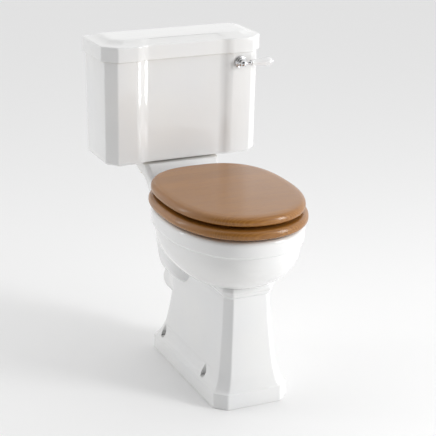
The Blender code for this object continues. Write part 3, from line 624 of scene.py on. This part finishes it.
def make_bowl():
    """Underside, step, upright band and rounded rim, from the bottom up."""
    half_width, front, back = 0.1762, -0.2960, 0.163
    underside = []
    for i in range(1, 31):
        turn = math.radians(4 + 84 * i / 30)
        share = math.sin(turn)
        depth = math.cos(turn) ** (2 / FULLNESS)
        underside.append((BAND_BOTTOM - depth * (BAND_BOTTOM - UNDERSIDE), half_width * share,
                          WIDEST - (WIDEST - front) * share, WIDEST + (back - WIDEST) * share))
    step = [
        (BAND_BOTTOM + 0.0003, 0.1768, -0.2966, 0.1640), (BAND_BOTTOM + 0.0008, 0.1796, -0.2992, 0.1666),
        (BAND_BOTTOM + 0.0020, 0.1824, -0.3018, 0.1692), (BAND_BOTTOM + 0.0042, 0.1845, -0.3037, 0.1711),
        (BAND_BOTTOM + 0.0090, RIM_HALF_WIDTH, RIM_FRONT, RIM_BACK),
    ]
    rim = [(RIM_TOP - 0.012, RIM_HALF_WIDTH, RIM_FRONT, RIM_BACK)]
    for cos, sin in quarter(6, 1):
        inset = 0.010 * (1 - cos)
        rim.append((RIM_TOP - 0.010 * (1 - sin), RIM_HALF_WIDTH - inset, RIM_FRONT + inset,
                    RIM_BACK - inset))
    bowl = egg_face("pan_body", *underside[0], WIDEST)
    stack(underside[1:] + step + rim)
    return close_solid(bowl)


pan = make_bowl()
print("bowl:", len(pan.data.polygons), "faces")

# %% The pedestal
FOOT_HALF_WIDTH = 0.1075
FOOT_HALF_LENGTH = 0.236
PLINTH_TOP = 0.044


def make_pedestal():
    """Plinth, cove, upright and the two-step moulding under the bowl."""
    cove = through([
        (PLINTH_TOP, FOOT_HALF_WIDTH - 0.0025, -0.2335, 0.2335), (0.0475, 0.1020, -0.2310, 0.2290),
        (0.054, 0.0975, -0.2285, 0.2255), (0.072, 0.0905, -0.2225, 0.2130), (0.100, 0.0840, -0.2165, 0.1990),
        (0.150, 0.0780, -0.2095, 0.1850), (0.220, 0.0715, -0.2035, 0.1730), (0.298, 0.0668, -0.1988, 0.1660),
    ], 4)
    moulding = [
        (0.3010, 0.0675, -0.1995, 0.1662), (0.3033, 0.0700, -0.2030, 0.1670), (0.3063, 0.0718, -0.2053, 0.1678),
        (0.3100, 0.0724, -0.2061, 0.1682), (0.3130, 0.0722, -0.2060, 0.1682), (0.3140, 0.0736, -0.2078, 0.1692),
        (0.3170, 0.0748, -0.2093, 0.1700), (0.3225, 0.0748, -0.2093, 0.1700), (0.3285, 0.0725, -0.2065, 0.1690),
        (0.3335, 0.0690, -0.2010, 0.1690), (0.3450, 0.0680, -0.2000, 0.1690),
    ]
    plinth = [
        (0.0012, FOOT_HALF_WIDTH, -FOOT_HALF_LENGTH, FOOT_HALF_LENGTH),
        (PLINTH_TOP - 0.004, FOOT_HALF_WIDTH, -FOOT_HALF_LENGTH, FOOT_HALF_LENGTH),
        (PLINTH_TOP - 0.0012, FOOT_HALF_WIDTH - 0.0008, -FOOT_HALF_LENGTH + 0.0008, FOOT_HALF_LENGTH - 0.0008),
    ]
    edge = 0.0010
    pedestal = cut_face("pedestal", 0.0, FOOT_HALF_WIDTH - edge, -FOOT_HALF_LENGTH + edge,
                        FOOT_HALF_LENGTH - edge, 0.030, 0.016)
    stack(plinth + cove + moulding)
    return close_solid(pedestal)


pedestal = make_pedestal()
print("pedestal:", len(pedestal.data.polygons), "faces")

# %% The trap body, the shelf and the spigot
def make_rear():
    """The bulge behind the bowl that holds the trap, up to the hinge deck."""
    levels = through([
        (0.240, 0.030, 0.090, 0.150), (0.244, 0.062, 0.060, 0.186), (0.254, 0.086, 0.040, 0.214),
        (0.276, 0.1015, 0.026, 0.236), (0.320, 0.1075, 0.020, 0.258), (0.390, 0.1040, 0.030, 0.286),
        (0.450, 0.1015, 0.050, 0.304), (0.478, 0.1030, 0.050, 0.311),
    ], 4)
    top = [
        (0.4850, 0.1025, 0.050, 0.3110), (0.4880, 0.1010, 0.050, 0.3095),
        (RIM_TOP - 0.0002, 0.0985, 0.050, 0.3070),
    ]
    z, _, front, _ = levels[0]
    rear = cut_face("rear", z, 0.1, front, 0.3, 0.060, 0.045, 0.024)
    fill_level(levels[0])
    stack(levels[1:] + top)
    return close_solid(rear)


def make_shelf():
    """The raised shelf under the cistern: a sloping front face and a rounded top edge."""
    levels = through([
        (RIM_TOP - 0.030, 0.0950, 0.232, 0.304), (RIM_TOP - 0.008, 0.1005, 0.226, 0.310),
        (RIM_TOP + 0.004, 0.1045, 0.2235, 0.313), (RIM_TOP + 0.015, 0.1070, 0.2300, 0.330),
        (0.5145, 0.1090, 0.2385, 0.372), (0.526, 0.1108, 0.2455, 0.3945), (0.541, 0.1130, 0.2550, 0.398),
    ], 4)
    top = [(0.5433, 0.1124, 0.2568, 0.3972), (0.5450, 0.1105, 0.2592, 0.3950)]
    shelf = cut_face("shelf", *levels[0], 0.008, 0.020, 0.003)
    stack(levels[1:] + top)
    return close_solid(shelf)


spigot = lathe("spigot", [(0.051, 0.110), (0.051, 0.283), (0.0495, 0.285)], (0, 0, 0.190), (0, 1, 0), 64)
down_leg = well(0.046, 0, 0.188, 0.186, 0.300, 48)
inlet_boss = cut_face("inlet_boss", 0.380, 0.040, 0.200, 0.270, 0.008, 0.020, 0.006)
stack([(0.455, 0.050, 0.200, 0.350), (0.525, 0.058, 0.200, 0.378)])
close_solid(inlet_boss)
combine(pan, "UNION", [pedestal, make_rear(), make_shelf(), spigot, down_leg, inlet_boss])
print("pan outside:", len(pan.data.polygons), "faces")

# %% [markdown]
# ## The pan's inside
# The basin, the trap passage and the hollow foot are cut out. A cutter has the shape of the empty space, so the
# basin's cutter is an egg that swells under the rim, where the flushing rim overhangs, and flares at the top to
# round the rim's inner lip. The foot is open underneath in two bays, with a web between them.


# %% The basin
def make_basin():
    wall = through([
        (0.196, 0.026, -0.035, 0.040), (0.225, 0.036, -0.070, 0.060), (0.270, 0.049, -0.114, 0.070),
        (0.300, 0.056, -0.132, 0.075), (0.325, 0.076, -0.162, 0.078), (0.345, 0.098, -0.195, 0.085),
        (0.375, 0.128, -0.240, 0.098), (0.410, 0.138, -0.252, 0.104), (0.444, 0.142, -0.258, 0.108),
    ], 5)
    lip = [
        (0.4500, 0.1410, -0.2570, 0.1070), (0.4540, 0.1375, -0.2525, 0.1035), (0.4570, 0.1330, -0.2470, 0.0990),
        (0.4610, 0.1290, -0.2420, 0.0950), (0.4660, 0.1275, -0.2400, 0.0935), (0.4790, 0.1275, -0.2400, 0.0935),
        (0.4830, 0.1282, -0.2408, 0.0942), (0.4862, 0.1300, -0.2428, 0.0960), (0.4880, 0.1325, -0.2455, 0.0985),
        (0.4895, 0.1360, -0.2490, 0.1020), (0.4950, 0.1400, -0.2530, 0.1060),
    ]
    basin = egg_face("basin", *wall[0], 0.0)
    stack(wall[1:] + lip)
    return close_solid(basin)


def pipe(name, points, radius, sides=8):
    """A bent passage: a curve with a round bevel, made a mesh so that it can cut."""
    curve = bpy.data.curves.new(name, "CURVE")
    curve.dimensions = "3D"
    curve.bevel_depth = radius
    curve.bevel_resolution = sides
    curve.use_fill_caps = True
    spline = curve.splines.new("POLY")
    spline.points.add(len(points) - 1)
    for point, place in zip(spline.points, points):
        point.co = (*place, 1)
    piece = bpy.data.objects.new(name, curve)
    bpy.context.scene.collection.objects.link(piece)
    take(piece)
    bpy.ops.object.convert(target="MESH")
    piece = bpy.context.object
    open_edit(piece)
    return close_solid(piece)


trap_line = through([
    (0, -0.010, 0.232), (0, 0.035, 0.222), (0, 0.085, 0.232), (0, 0.125, 0.272), (0, 0.160, 0.283),
    (0, 0.188, 0.258), (0, 0.200, 0.214), (0, 0.232, 0.190), (0, 0.262, 0.190),
])
SHELF_HOLE_Y = 0.330
COUPLING_X = 0.085
cutters = [
    make_basin(),
    pipe("trap_passage", trap_line, 0.026),
    drill(0.043, (0, 0.238, 0.190), (0, 0.295, 0.190), 64),
    well(0.047, 0, SHELF_HOLE_Y, 0.525, 0.555, 64),
    well(0.030, 0, SHELF_HOLE_Y, 0.490, 0.545, 48),
    drill(0.016, (0, 0.335, 0.487), (0, 0.085, 0.432)),
]
combine(pan, "DIFFERENCE", cutters)
print("basin and passages cut:", len(pan.data.polygons), "faces")

# %% The hollow foot and the screw pockets
FLOOR_SCREW_X = 0.0876
FLOOR_SCREWS_Y = (-0.111, 0.1756)
HALF_WEB = 0.012
HINGE_POST_X = 0.0775
POCKET_FLOOR = 0.0480
POCKET_REACH = 0.0140
POCKET_TOP = 0.094


def make_bay(sign, reach):
    """One open bay under the pedestal, narrowing upwards."""
    shares = through([
        (-0.005, 0.0945, 1.0), (0.030, 0.0900, 0.99), (0.050, 0.0790, 0.94), (0.120, 0.0660, 0.84),
        (0.160, 0.0560, 0.70),
    ], 3)
    levels = []
    for z, half_width, share in shares:
        near, far = sorted((sign * HALF_WEB, sign * reach * share))
        levels.append((z, half_width, near, far))
    bay = cut_face("bay", *levels[0], 0.012, 0.012)
    stack(levels[1:])
    return close_solid(bay)


def screw_pocket(x, y):
    """A scoop into the cove that ends on a level seat, pointed towards the pedestal like an arch."""
    outward = math.copysign(1, x)
    scoop = flat_face("scoop", (x - POCKET_REACH, y - POCKET_REACH), (x + POCKET_REACH, y + POCKET_REACH),
                      POCKET_FLOOR)
    soften(lambda v: True, POCKET_REACH * 0.999, 8)
    bpy.ops.mesh.select_all(action="SELECT")
    bpy.ops.mesh.extrude_region_move(TRANSFORM_OT_translate={"value": (0, 0, POCKET_TOP - POCKET_FLOOR)})
    bpy.ops.transform.resize(value=(1, 0.5, 1), center_override=(x, y, POCKET_TOP))
    bpy.ops.transform.translate(value=(outward * 0.016, 0, 0))
    return close_solid(scoop)


cutters = [make_bay(-1, 0.222), make_bay(1, 0.220)]
for side in (-1, 1):
    for y in FLOOR_SCREWS_Y:
        x = side * FLOOR_SCREW_X
        cutters.append(screw_pocket(x, y))
        cutters.append(well(0.0042, x, y, 0.02, 0.06, 24))
    cutters.append(well(0.006, side * COUPLING_X, SHELF_HOLE_Y, 0.48, 0.56, 24))
    cutters.append(well(0.006, side * HINGE_POST_X, HINGE_Y, 0.44, 0.50, 24))
    near, far = sorted((side * 0.058, side * 0.130))
    cutters.append(block((near, 0.164, 0.405), (far, 0.222, RIM_TOP - 0.022)))
combine(pan, "DIFFERENCE", cutters)
smooth(pan, 38)
settle(pan, "root", "vitreous_china", PAN_CHINA, "pan")

# %% [markdown]
# ## The cistern and its lid
# Both are boxes with the front corners cut at 45 degrees and the middle of the front set back behind two soft
# steps. The outline is drawn first, on a flat face: the corners are cut by a bevel with one segment, the middle
# of the front edge is moved back, and a bevel with several segments turns the two corners of each step into an
# S. The body then rises from a rounded bottom edge, and its top is inset and pushed down to hollow it out.


# %% The panelled outline
PANEL_INNER = 0.1155
PANEL_OUTER = 0.137
PANEL_DEPTH = 0.009
CISTERN_BACK = cad_box[1].y


def panelled_face(name, z, half_width, front, corner):
    """A cistern's outline with its sunk middle panel."""
    piece = flat_face(name, (-half_width, front), (half_width, CISTERN_BACK), z)
    soften(lambda v: v.co.y < front + 0.001, corner, 1)
    soften(lambda v: v.co.y > CISTERN_BACK - 0.001, 0.004, 4)
    soften(lambda v: v.co.y < CISTERN_BACK - 0.006, 0.0035, 3)
    for x in (-PANEL_OUTER, -PANEL_INNER, PANEL_INNER, PANEL_OUTER):
        pick("faces", lambda f: True)
        bpy.ops.mesh.bisect(plane_co=(x, 0, z), plane_no=(1, 0, 0))
    pick("verts", lambda v: abs(v.co.x) < PANEL_INNER + 0.001 and v.co.y < front + 0.001)
    bpy.ops.transform.translate(value=(0, PANEL_DEPTH, 0))
    pick("edges", lambda e: len(e.link_faces) == 2)
    bpy.ops.mesh.dissolve_edges(use_verts=False)
    pick("verts", lambda v: v.co.y > CISTERN_BACK - 0.001 and abs(v.co.x) < PANEL_OUTER + 0.001)
    bpy.ops.mesh.dissolve_verts()
    soften(lambda v: v.co.y < front + 0.012 and abs(v.co.x) < PANEL_OUTER + 0.001, 0.0100, 6)
    pick("faces", lambda f: True)
    return piece


print("panelled outline ready")

# %% The cistern's body
body_low, body_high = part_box("cistern")
BODY_FRONT_TOP = body_low.y
TAPER = 0.009
SIDE_TAPER = 0.002
BODY_CORNER = 0.029
BODY_HALF_WIDTH = body_high.x
BODY_HEIGHT = body_high.z - body_low.z
WALL = 0.0095
FLOOR_TOP = body_low.z + 0.010


def body_level(z, inset):
    """The body's outline at a height, drawn in by an inset."""
    drop = (body_high.z - z) / BODY_HEIGHT
    half_width = BODY_HALF_WIDTH - SIDE_TAPER * drop - inset
    return z, half_width, BODY_FRONT_TOP + TAPER * drop + inset, CISTERN_BACK - inset


def make_cistern_body():
    rounding = [body_level(body_low.z + 0.011 * (1 - cos), 0.011 * (1 - sin)) for cos, sin in quarter(7)]
    top = [body_level(body_high.z - 0.0015, 0.0), body_level(body_high.z, 0.0012)]
    body = panelled_face("cistern_body", rounding[0][0], BODY_HALF_WIDTH, BODY_FRONT_TOP, BODY_CORNER)
    fill_level(rounding[0])
    stack(rounding[1:] + top)
    return close_solid(body)


def make_cistern_hollow():
    hollow = panelled_face("cistern_hollow", FLOOR_TOP, BODY_HALF_WIDTH, BODY_FRONT_TOP, BODY_CORNER)
    fill_level(body_level(FLOOR_TOP, WALL + 0.006))
    stack([body_level(FLOOR_TOP + 0.002, WALL + 0.002), body_level(FLOOR_TOP + 0.006, WALL),
           body_level(body_high.z - 0.0015, WALL), body_level(body_high.z + 0.004, WALL - 0.003)])
    return close_solid(hollow)


LEVER_X = 0.166
LEVER_Z = 0.822
WALL_SCREW_X = 0.165
WALL_SCREW_Z = 0.8
cistern = make_cistern_body()
floor_low, floor_high = body_low.z - 0.01, FLOOR_TOP + 0.01
cutters = [
    make_cistern_hollow(),
    well(0.0225, 0, SHELF_HOLE_Y, floor_low, floor_high, 48),
    well(0.0115, -0.150, 0.372, floor_low, floor_high),
    drill(0.0085, (LEVER_X, 0.22, LEVER_Z), (LEVER_X, 0.28, LEVER_Z)),
]
for side in (-1, 1):
    cutters.append(well(0.0055, side * COUPLING_X, SHELF_HOLE_Y, floor_low, floor_high))
    x = side * WALL_SCREW_X
    cutters.append(drill(0.004, (x, CISTERN_BACK - 0.03, WALL_SCREW_Z), (x, CISTERN_BACK + 0.01, WALL_SCREW_Z)))
combine(cistern, "DIFFERENCE", cutters)
smooth(cistern, 38)
settle(cistern, "root", "vitreous_china", CISTERN_CHINA, "cistern")

# %% The lid
lid_low, lid_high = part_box("cistern_lid")
LID_HALF_WIDTH = lid_high.x
LID_CORNER = 0.0375
LID_EDGE_TOP = 0.892


def lid_level(z, inset):
    return z, LID_HALF_WIDTH - inset, lid_low.y + inset, CISTERN_BACK - inset


def make_lid():
    """An upright edge, a soft rise and a flat top that stands a little proud."""
    levels = [lid_level(lid_low.z + 0.0012, 0.0002), lid_level(lid_low.z + 0.003, 0.0),
              lid_level(LID_EDGE_TOP - 0.005, 0.0)]
    levels += [lid_level(LID_EDGE_TOP - 0.005 + 0.005 * sin, 0.0042 * (1 - cos))
               for cos, sin in quarter(5, 1)]
    rise = through([
        (LID_EDGE_TOP, 0.0045), (0.8930, 0.0130), (0.8948, 0.0210), (0.8982, 0.0285), (0.9015, 0.0340),
        (0.9030, 0.0380), (0.9038, 0.0420),
    ], 3)
    levels += [lid_level(z, inset) for z, inset in rise[1:]]
    levels.append(lid_level(lid_high.z, 0.0480))
    lid = panelled_face("lid_body", lid_low.z, LID_HALF_WIDTH, lid_low.y, LID_CORNER)
    fill_level(lid_level(lid_low.z, 0.0015))
    stack(levels)
    pick("verts", lambda v: v.co.z > 0.9025 and v.co.y < 0.285)
    bpy.ops.transform.resize(value=(1, 0.55, 1), center_override=(0, 0.2665, 0.903))
    return close_solid(lid, 30)


def make_lid_hollow():
    hollow = panelled_face("lid_hollow", lid_low.z - 0.005, LID_HALF_WIDTH, lid_low.y, LID_CORNER)
    fill_level(lid_level(lid_low.z - 0.005, 0.022))
    stack([lid_level(0.874, 0.0235), lid_level(0.880, 0.027), lid_level(0.884, 0.034)])
    return close_solid(hollow)


lid = combine(make_lid(), "DIFFERENCE", [make_lid_hollow()])
smooth(lid, 38)
settle(lid, "cistern_lid", "vitreous_china", LID_CHINA, "cistern_lid")

# %% [markdown]
# ## The oak seat
# The cover is a board with a flat top and a wide rounded edge, and the ring is the same egg a little larger,
# with an oval hole whose edge rolls over for comfort. Both start from the egg outline. The ring is stacked up
# its outside, over the top and down the hole, and its bottom is closed by bridging the two outlines.

# %% The cover
cover_low, cover_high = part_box("seat_cover")
ring_low, ring_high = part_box("seat_ring")


def seat_level(low, high, up, inset):
    """The seat's outline at a share of its thickness, drawn in by an inset."""
    return low.z + (high.z - low.z) * up, high.x - inset, low.y + inset, high.y - inset / 2


def make_cover():
    section = [(0.30 * (1 - cos), 0.007 * (1 - sin)) for cos, sin in quarter(7)]
    section += [(0.34 + 0.62 * sin, 0.0165 * (1 - cos) ** 1.15) for cos, sin in quarter(11, 1)]
    section += [(0.975, 0.0185), (0.99, 0.022), (1.0, 0.030)]
    levels = [seat_level(cover_low, cover_high, up, inset) for up, inset in section]
    cover = egg_face("cover_board", *levels[0], WIDEST)
    stack(levels[1:])
    return close_solid(cover, 60)


cover = make_cover()
settle(cover, "seat_cover", "oak", COVER_OAK, "seat_cover")

# %% The ring
def make_ring():
    section = [(0.34 * (1 - cos), 0.0075 * (1 - sin)) for cos, sin in quarter(7)]
    section += [(0.40 + 0.60 * sin, 0.0150 * (1 - cos) ** 1.1) for cos, sin in quarter(9, 1)]
    outside = [seat_level(ring_low, ring_high, up, inset) for up, inset in section]
    thickness = ring_high.z - ring_low.z
    inside = []
    for cos, sin in quarter(9):
        grow = 0.014 * (1 - sin)
        inside.append((ring_high.z - 0.55 * thickness * (1 - cos), 0.113 + grow, -0.222 - grow,
                       0.080 + grow))
    inside.append((ring_low.z + 0.003, 0.113, -0.222, 0.080))
    inside.append((ring_low.z + 0.0008, 0.1142, -0.2232, 0.0812))
    inside.append((ring_low.z, 0.1165, -0.2255, 0.0835))
    ring = egg_face("ring_board", *outside[0], WIDEST)
    stack(outside[1:] + inside)
    pick("faces", lambda f: len(f.verts) > 20)
    bpy.ops.mesh.bridge_edge_loops()
    return close_solid(ring, 60)


ring = make_ring()
settle(ring, "seat_ring", "oak", RING_OAK, "seat_ring")

# %% [markdown]
# ## The flush lever
# A chrome escutcheon covers the hole in the china. The hub turns in it and ends in a ball; a slim neck leads to
# a china grip that flares towards its end, held on by a pointed chrome cap. All of them are turned pieces.

# %% The lever
lever_body = "flush_lever"
grip_low, grip_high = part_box("lever_grip")
LEVER_Y = (grip_low.y + grip_high.y) / 2
BALL_RADIUS = 0.0102
centre = (LEVER_X, 0, LEVER_Z)
front = (0, -1, 0)
escutcheon = lathe(
    "escutcheon",
    [(0.0068, -0.2352), (0.0172, -0.2352), (0.0174, -0.2340), (0.0172, -0.2325), (0.0160, -0.2316),
     (0.0150, -0.2318), (0.0143, -0.2306), (0.0140, -0.2290), (0.0128, -0.2282), (0.0118, -0.2284),
     (0.0110, -0.2280), (0.0072, -0.2280), (0.0068, -0.2284)],
    centre, front, 64, 0.0003, True,
)
settle(escutcheon, "root", "chrome", CHROME, "lever_escutcheon")

hub_profile = [(0.0063, -0.2760), (0.0063, -0.2276), (0.0098, -0.2272), (0.0120, -0.2256), (0.0124, -0.2236),
               (0.0119, -0.2218), (0.0100, -0.2204), (0.0083, -0.2194)]
for i in range(0, 13):
    turn = math.radians(-25 + 115 * i / 12)
    hub_profile.append((max(BALL_RADIUS * math.cos(turn), 0.00002), 0.0100 * math.sin(turn) - LEVER_Y))
hub = lathe("hub", hub_profile, centre, front, 64)
settle(hub, lever_body, "chrome", CHROME, "lever_hub")

along = (1, 0, 0)
handle = (0, LEVER_Y, LEVER_Z)
collar = lathe(
    "collar",
    [(0.0036, LEVER_X + 0.0090), (0.0036, 0.1795), (0.0042, 0.1812), (0.0058, 0.1826), (0.0060, 0.1836),
     (0.0050, 0.1846), (0.0056, 0.1856), (0.0074, 0.1864), (0.0074, 0.1872), (0.0068, 0.1880)],
    handle, along, 48, 0.0002,
)
settle(collar, lever_body, "chrome", CHROME, "lever_collar")
grip_shape = through([
    (0.0066, 0.1885), (0.0078, 0.1893), (0.0081, 0.1910), (0.0078, 0.1965), (0.0083, 0.2060), (0.0096, 0.2160),
    (0.0112, 0.2270), (0.0123, 0.2370), (0.0125, 0.2425), (0.0119, 0.2466), (0.0103, 0.2485),
], 3)
grip = lathe("grip", grip_shape, handle, along, 48)
settle(grip, lever_body, "grip_china", GRIP_CHINA, "lever_grip")
cap = lathe(
    "end_cap",
    [(0.0070, 0.2489), (0.0075, 0.2494), (0.0075, 0.2512), (0.0066, 0.2530), (0.0050, 0.2542), (0.0040, 0.2550),
     (0.0042, 0.2562), (0.0040, 0.2578), (0.0030, 0.2595), (0.0016, 0.2606), (0.0002, 0.2610)],
    handle, along, 48,
)
settle(cap, lever_body, "chrome", CHROME, "lever_end_cap")

# %% [markdown]
# ## Buffers and hinges
# Rubber buffers keep the two boards apart and off the rim. The hinge is a chrome bar held by two posts that are
# bolted through the deck; the ring and the cover each hang from it on two chrome straps that are screwed to the
# wood underneath. One buffer is modelled and copied, and each copy gets its own mesh.


# %% Buffers
def copy_of(piece, name, place):
    """A copy with its own mesh, moved to a place in that mesh."""
    twin = piece.copy()
    twin.data = piece.data.copy()
    twin.name = twin.data.name = name
    bpy.context.scene.collection.objects.link(twin)
    take(twin)
    twin.location = place
    fix_place()
    return twin


def make_buffer(name, height):
    return lathe(name, [(0.0052, 0.0), (0.0066, 0.0006), (0.0075, 0.0020), (0.0079, height * 0.45),
                        (0.0079, height - 0.0004), (0.0072, height)], steps=40)


buffer_nodes = [name for name in nodes if "buffer" in name]
low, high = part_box(buffer_nodes[0])
pattern = make_buffer("buffer_pattern", high.z - low.z)
for name in buffer_nodes:
    low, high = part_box(name)
    body = "seat_ring" if name.startswith("ring") else "seat_cover"
    place = ((low.x + high.x) / 2, (low.y + high.y) / 2, low.z)
    settle(copy_of(pattern, name + "_rubber", place), body, "rubber", RUBBER, name)
bpy.data.objects.remove(pattern)

# %% Hinges
BAR_RADIUS = (bar_high.z - bar_low.z) / 2
bar = lathe("bar", [(0.0028, bar_low.x), (BAR_RADIUS, bar_low.x + 0.001), (BAR_RADIUS, bar_high.x - 0.001),
                    (0.0028, bar_high.x)], (0, HINGE_Y, HINGE_Z), along, 40)
settle(bar, "root", "chrome", CHROME, "hinge_bar")


def bar_hole(x):
    """A cutter for the bar's running hole through an eye."""
    return drill(BAR_RADIUS + 0.0003, (x - 0.02, HINGE_Y, HINGE_Z), (x + 0.02, HINGE_Y, HINGE_Z), 40)


def make_post(name, x):
    """Foot, neck and eye of a hinge post, with its stud."""
    post = lathe(
        name,
        [(0.0036, 0.4350), (0.0040, 0.4360), (0.0040, RIM_TOP + 0.0025), (0.0158, RIM_TOP + 0.0025),
         (0.0160, 0.4930), (0.0156, 0.4944), (0.0142, 0.4952), (0.0100, 0.4958), (0.0074, 0.4980),
         (0.0060, 0.5020), (0.0055, 0.5080), (0.0055, HINGE_Z - 0.003)],
        (x, HINGE_Y, 0), steps=56,
    )
    eye = lathe("eye", [(0.0058, -0.008), (0.0065, -0.0073), (0.0065, 0.0073), (0.0058, 0.008)],
                (x, HINGE_Y, HINGE_Z), along, 56)
    combine(post, "UNION", [eye])
    combine(post, "DIFFERENCE", [bar_hole(x)])
    return smooth(post, 35)


def make_bracket(name, node):
    """A strap with rounded edges that turns up into an eye on the bar."""
    low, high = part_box(node)
    strap = block((low.x, low.y, low.z), (high.x, HINGE_Y - 0.0036, low.z + 0.003))
    strap.name = strap.data.name = name
    upright = block((low.x, HINGE_Y - 0.0063, low.z), (high.x, HINGE_Y - 0.0036, HINGE_Z - 0.002))
    eye = drill(0.0060, (low.x, HINGE_Y, HINGE_Z), (high.x, HINGE_Y, HINGE_Z), 48)
    combine(strap, "UNION", [upright, eye])
    combine(strap, "DIFFERENCE", [bar_hole((low.x + high.x) / 2)])
    return smooth(round_edges(strap, 0.0004, 2, 40), 35)


for word, side in (("left", -1), ("right", 1)):
    post = make_post(f"post_{word}", side * HINGE_POST_X)
    settle(post, "root", "chrome", CHROME, f"hinge_post_{word}")
    for body in ("ring", "cover"):
        strap = make_bracket(f"{body}_strap_{word}", f"{body}_bracket_{word}")
        settle(strap, f"seat_{body}", "chrome", CHROME, f"{body}_bracket_{word}")

# %% [markdown]
# ## Light, floor and camera
# White china on white needs light that comes from large, soft panels: the glaze shows them as broad pale
# streaks, and the turned-away faces fall to a light grey. The camera looks down a little from the left of
# centre, with a long lens so that the upright lines stay nearly upright.

# %% Floor and light
bpy.ops.mesh.primitive_plane_add(size=30, location=(0, 0, 0))
floor = bpy.context.object
floor.name = "floor"
floor_material, floor_shader, _ = new_material("pale_floor")
put(floor_shader, {"Base Color": (0.88, 0.88, 0.88, 1), "Roughness": 0.9})
floor.data.materials.append(floor_material)

world = bpy.data.worlds.new("studio")
world.use_nodes = True
bpy.context.scene.world = world
bpy.context.scene.view_settings.view_transform = "Standard"
SKY_BRIGHT = 1.05
SKY_DARK = 0.06
BEHIND_CAMERA = Vector((-0.52, -0.82, 0.25)).normalized()


def light_sky(tree):
    """An even white sky that falls to near black behind the camera, as the unlit end of a studio does."""
    background = tree.nodes["Background"]
    put(background, {"Color": (1.0, 1.0, 1.0, 1)})
    towards = add(tree, "VectorMath", {1: BEHIND_CAMERA}, operation="DOT_PRODUCT")
    link(add(tree, "TexCoord").outputs["Generated"], towards.inputs[0])
    fall = add(tree, "MapRange", {"From Min": 0.30, "From Max": 0.95, "To Min": SKY_BRIGHT, "To Max": SKY_DARK},
               interpolation_type="SMOOTHSTEP")
    link(towards.outputs["Value"], fall.inputs["Value"])
    backdrop = add(tree, "Mix", {3: 1.0})
    link(add(tree, "LightPath").outputs["Is Camera Ray"], backdrop.inputs[0])
    link(fall.outputs["Result"], backdrop.inputs[2])
    link(backdrop.outputs[0], background.inputs["Strength"])


light_sky(world.node_tree)


def panel_light(name, place, target, size, power):
    """A large soft light that faces a point."""
    light = bpy.data.lights.new(name, "AREA")
    light.shape = "RECTANGLE"
    light.size, light.size_y = size
    light.energy = power
    lamp = bpy.data.objects.new(name, light)
    bpy.context.scene.collection.objects.link(lamp)
    lamp.location = place
    lamp.rotation_mode = "QUATERNION"
    lamp.rotation_quaternion = (Vector(target) - Vector(place)).to_track_quat("-Z", "Y")
    return lamp


middle = (0, 0.05, 0.45)
panel_light("key_right", (2.2, -2.2, 1.5), (0, 0.25, 0.80), (0.8, 2.0), 56)
panel_light("fill_left", (-2.5, 1.6, 1.2), middle, (0.35, 2.0), 9)
print("floor, sky and two panels")

# %% Camera
AZIMUTH = math.radians(24.1935)
ELEVATION = math.radians(19.1883)
ROLL = math.radians(0.5136)
look = Vector((math.sin(AZIMUTH) * math.cos(ELEVATION), math.cos(AZIMUTH) * math.cos(ELEVATION),
               -math.sin(ELEVATION)))
level = Vector((math.cos(AZIMUTH), -math.sin(AZIMUTH), 0))
upright = level.cross(look)
right = level * math.cos(ROLL) + upright * math.sin(ROLL)
up = -level * math.sin(ROLL) + upright * math.cos(ROLL)
camera_data = bpy.data.cameras.new("camera")
camera_data.sensor_width = 36
camera_data.lens = 115.6
camera = bpy.data.objects.new("camera", camera_data)
bpy.context.scene.collection.objects.link(camera)
camera.matrix_world = Matrix((
    (right.x, up.x, -look.x, -1.4721), (right.y, up.y, -look.y, -3.2644), (right.z, up.z, -look.z, 1.7008),
    (0, 0, 0, 1),
))
bpy.context.scene.camera = camera
print("camera at", [round(value, 3) for value in camera.location])
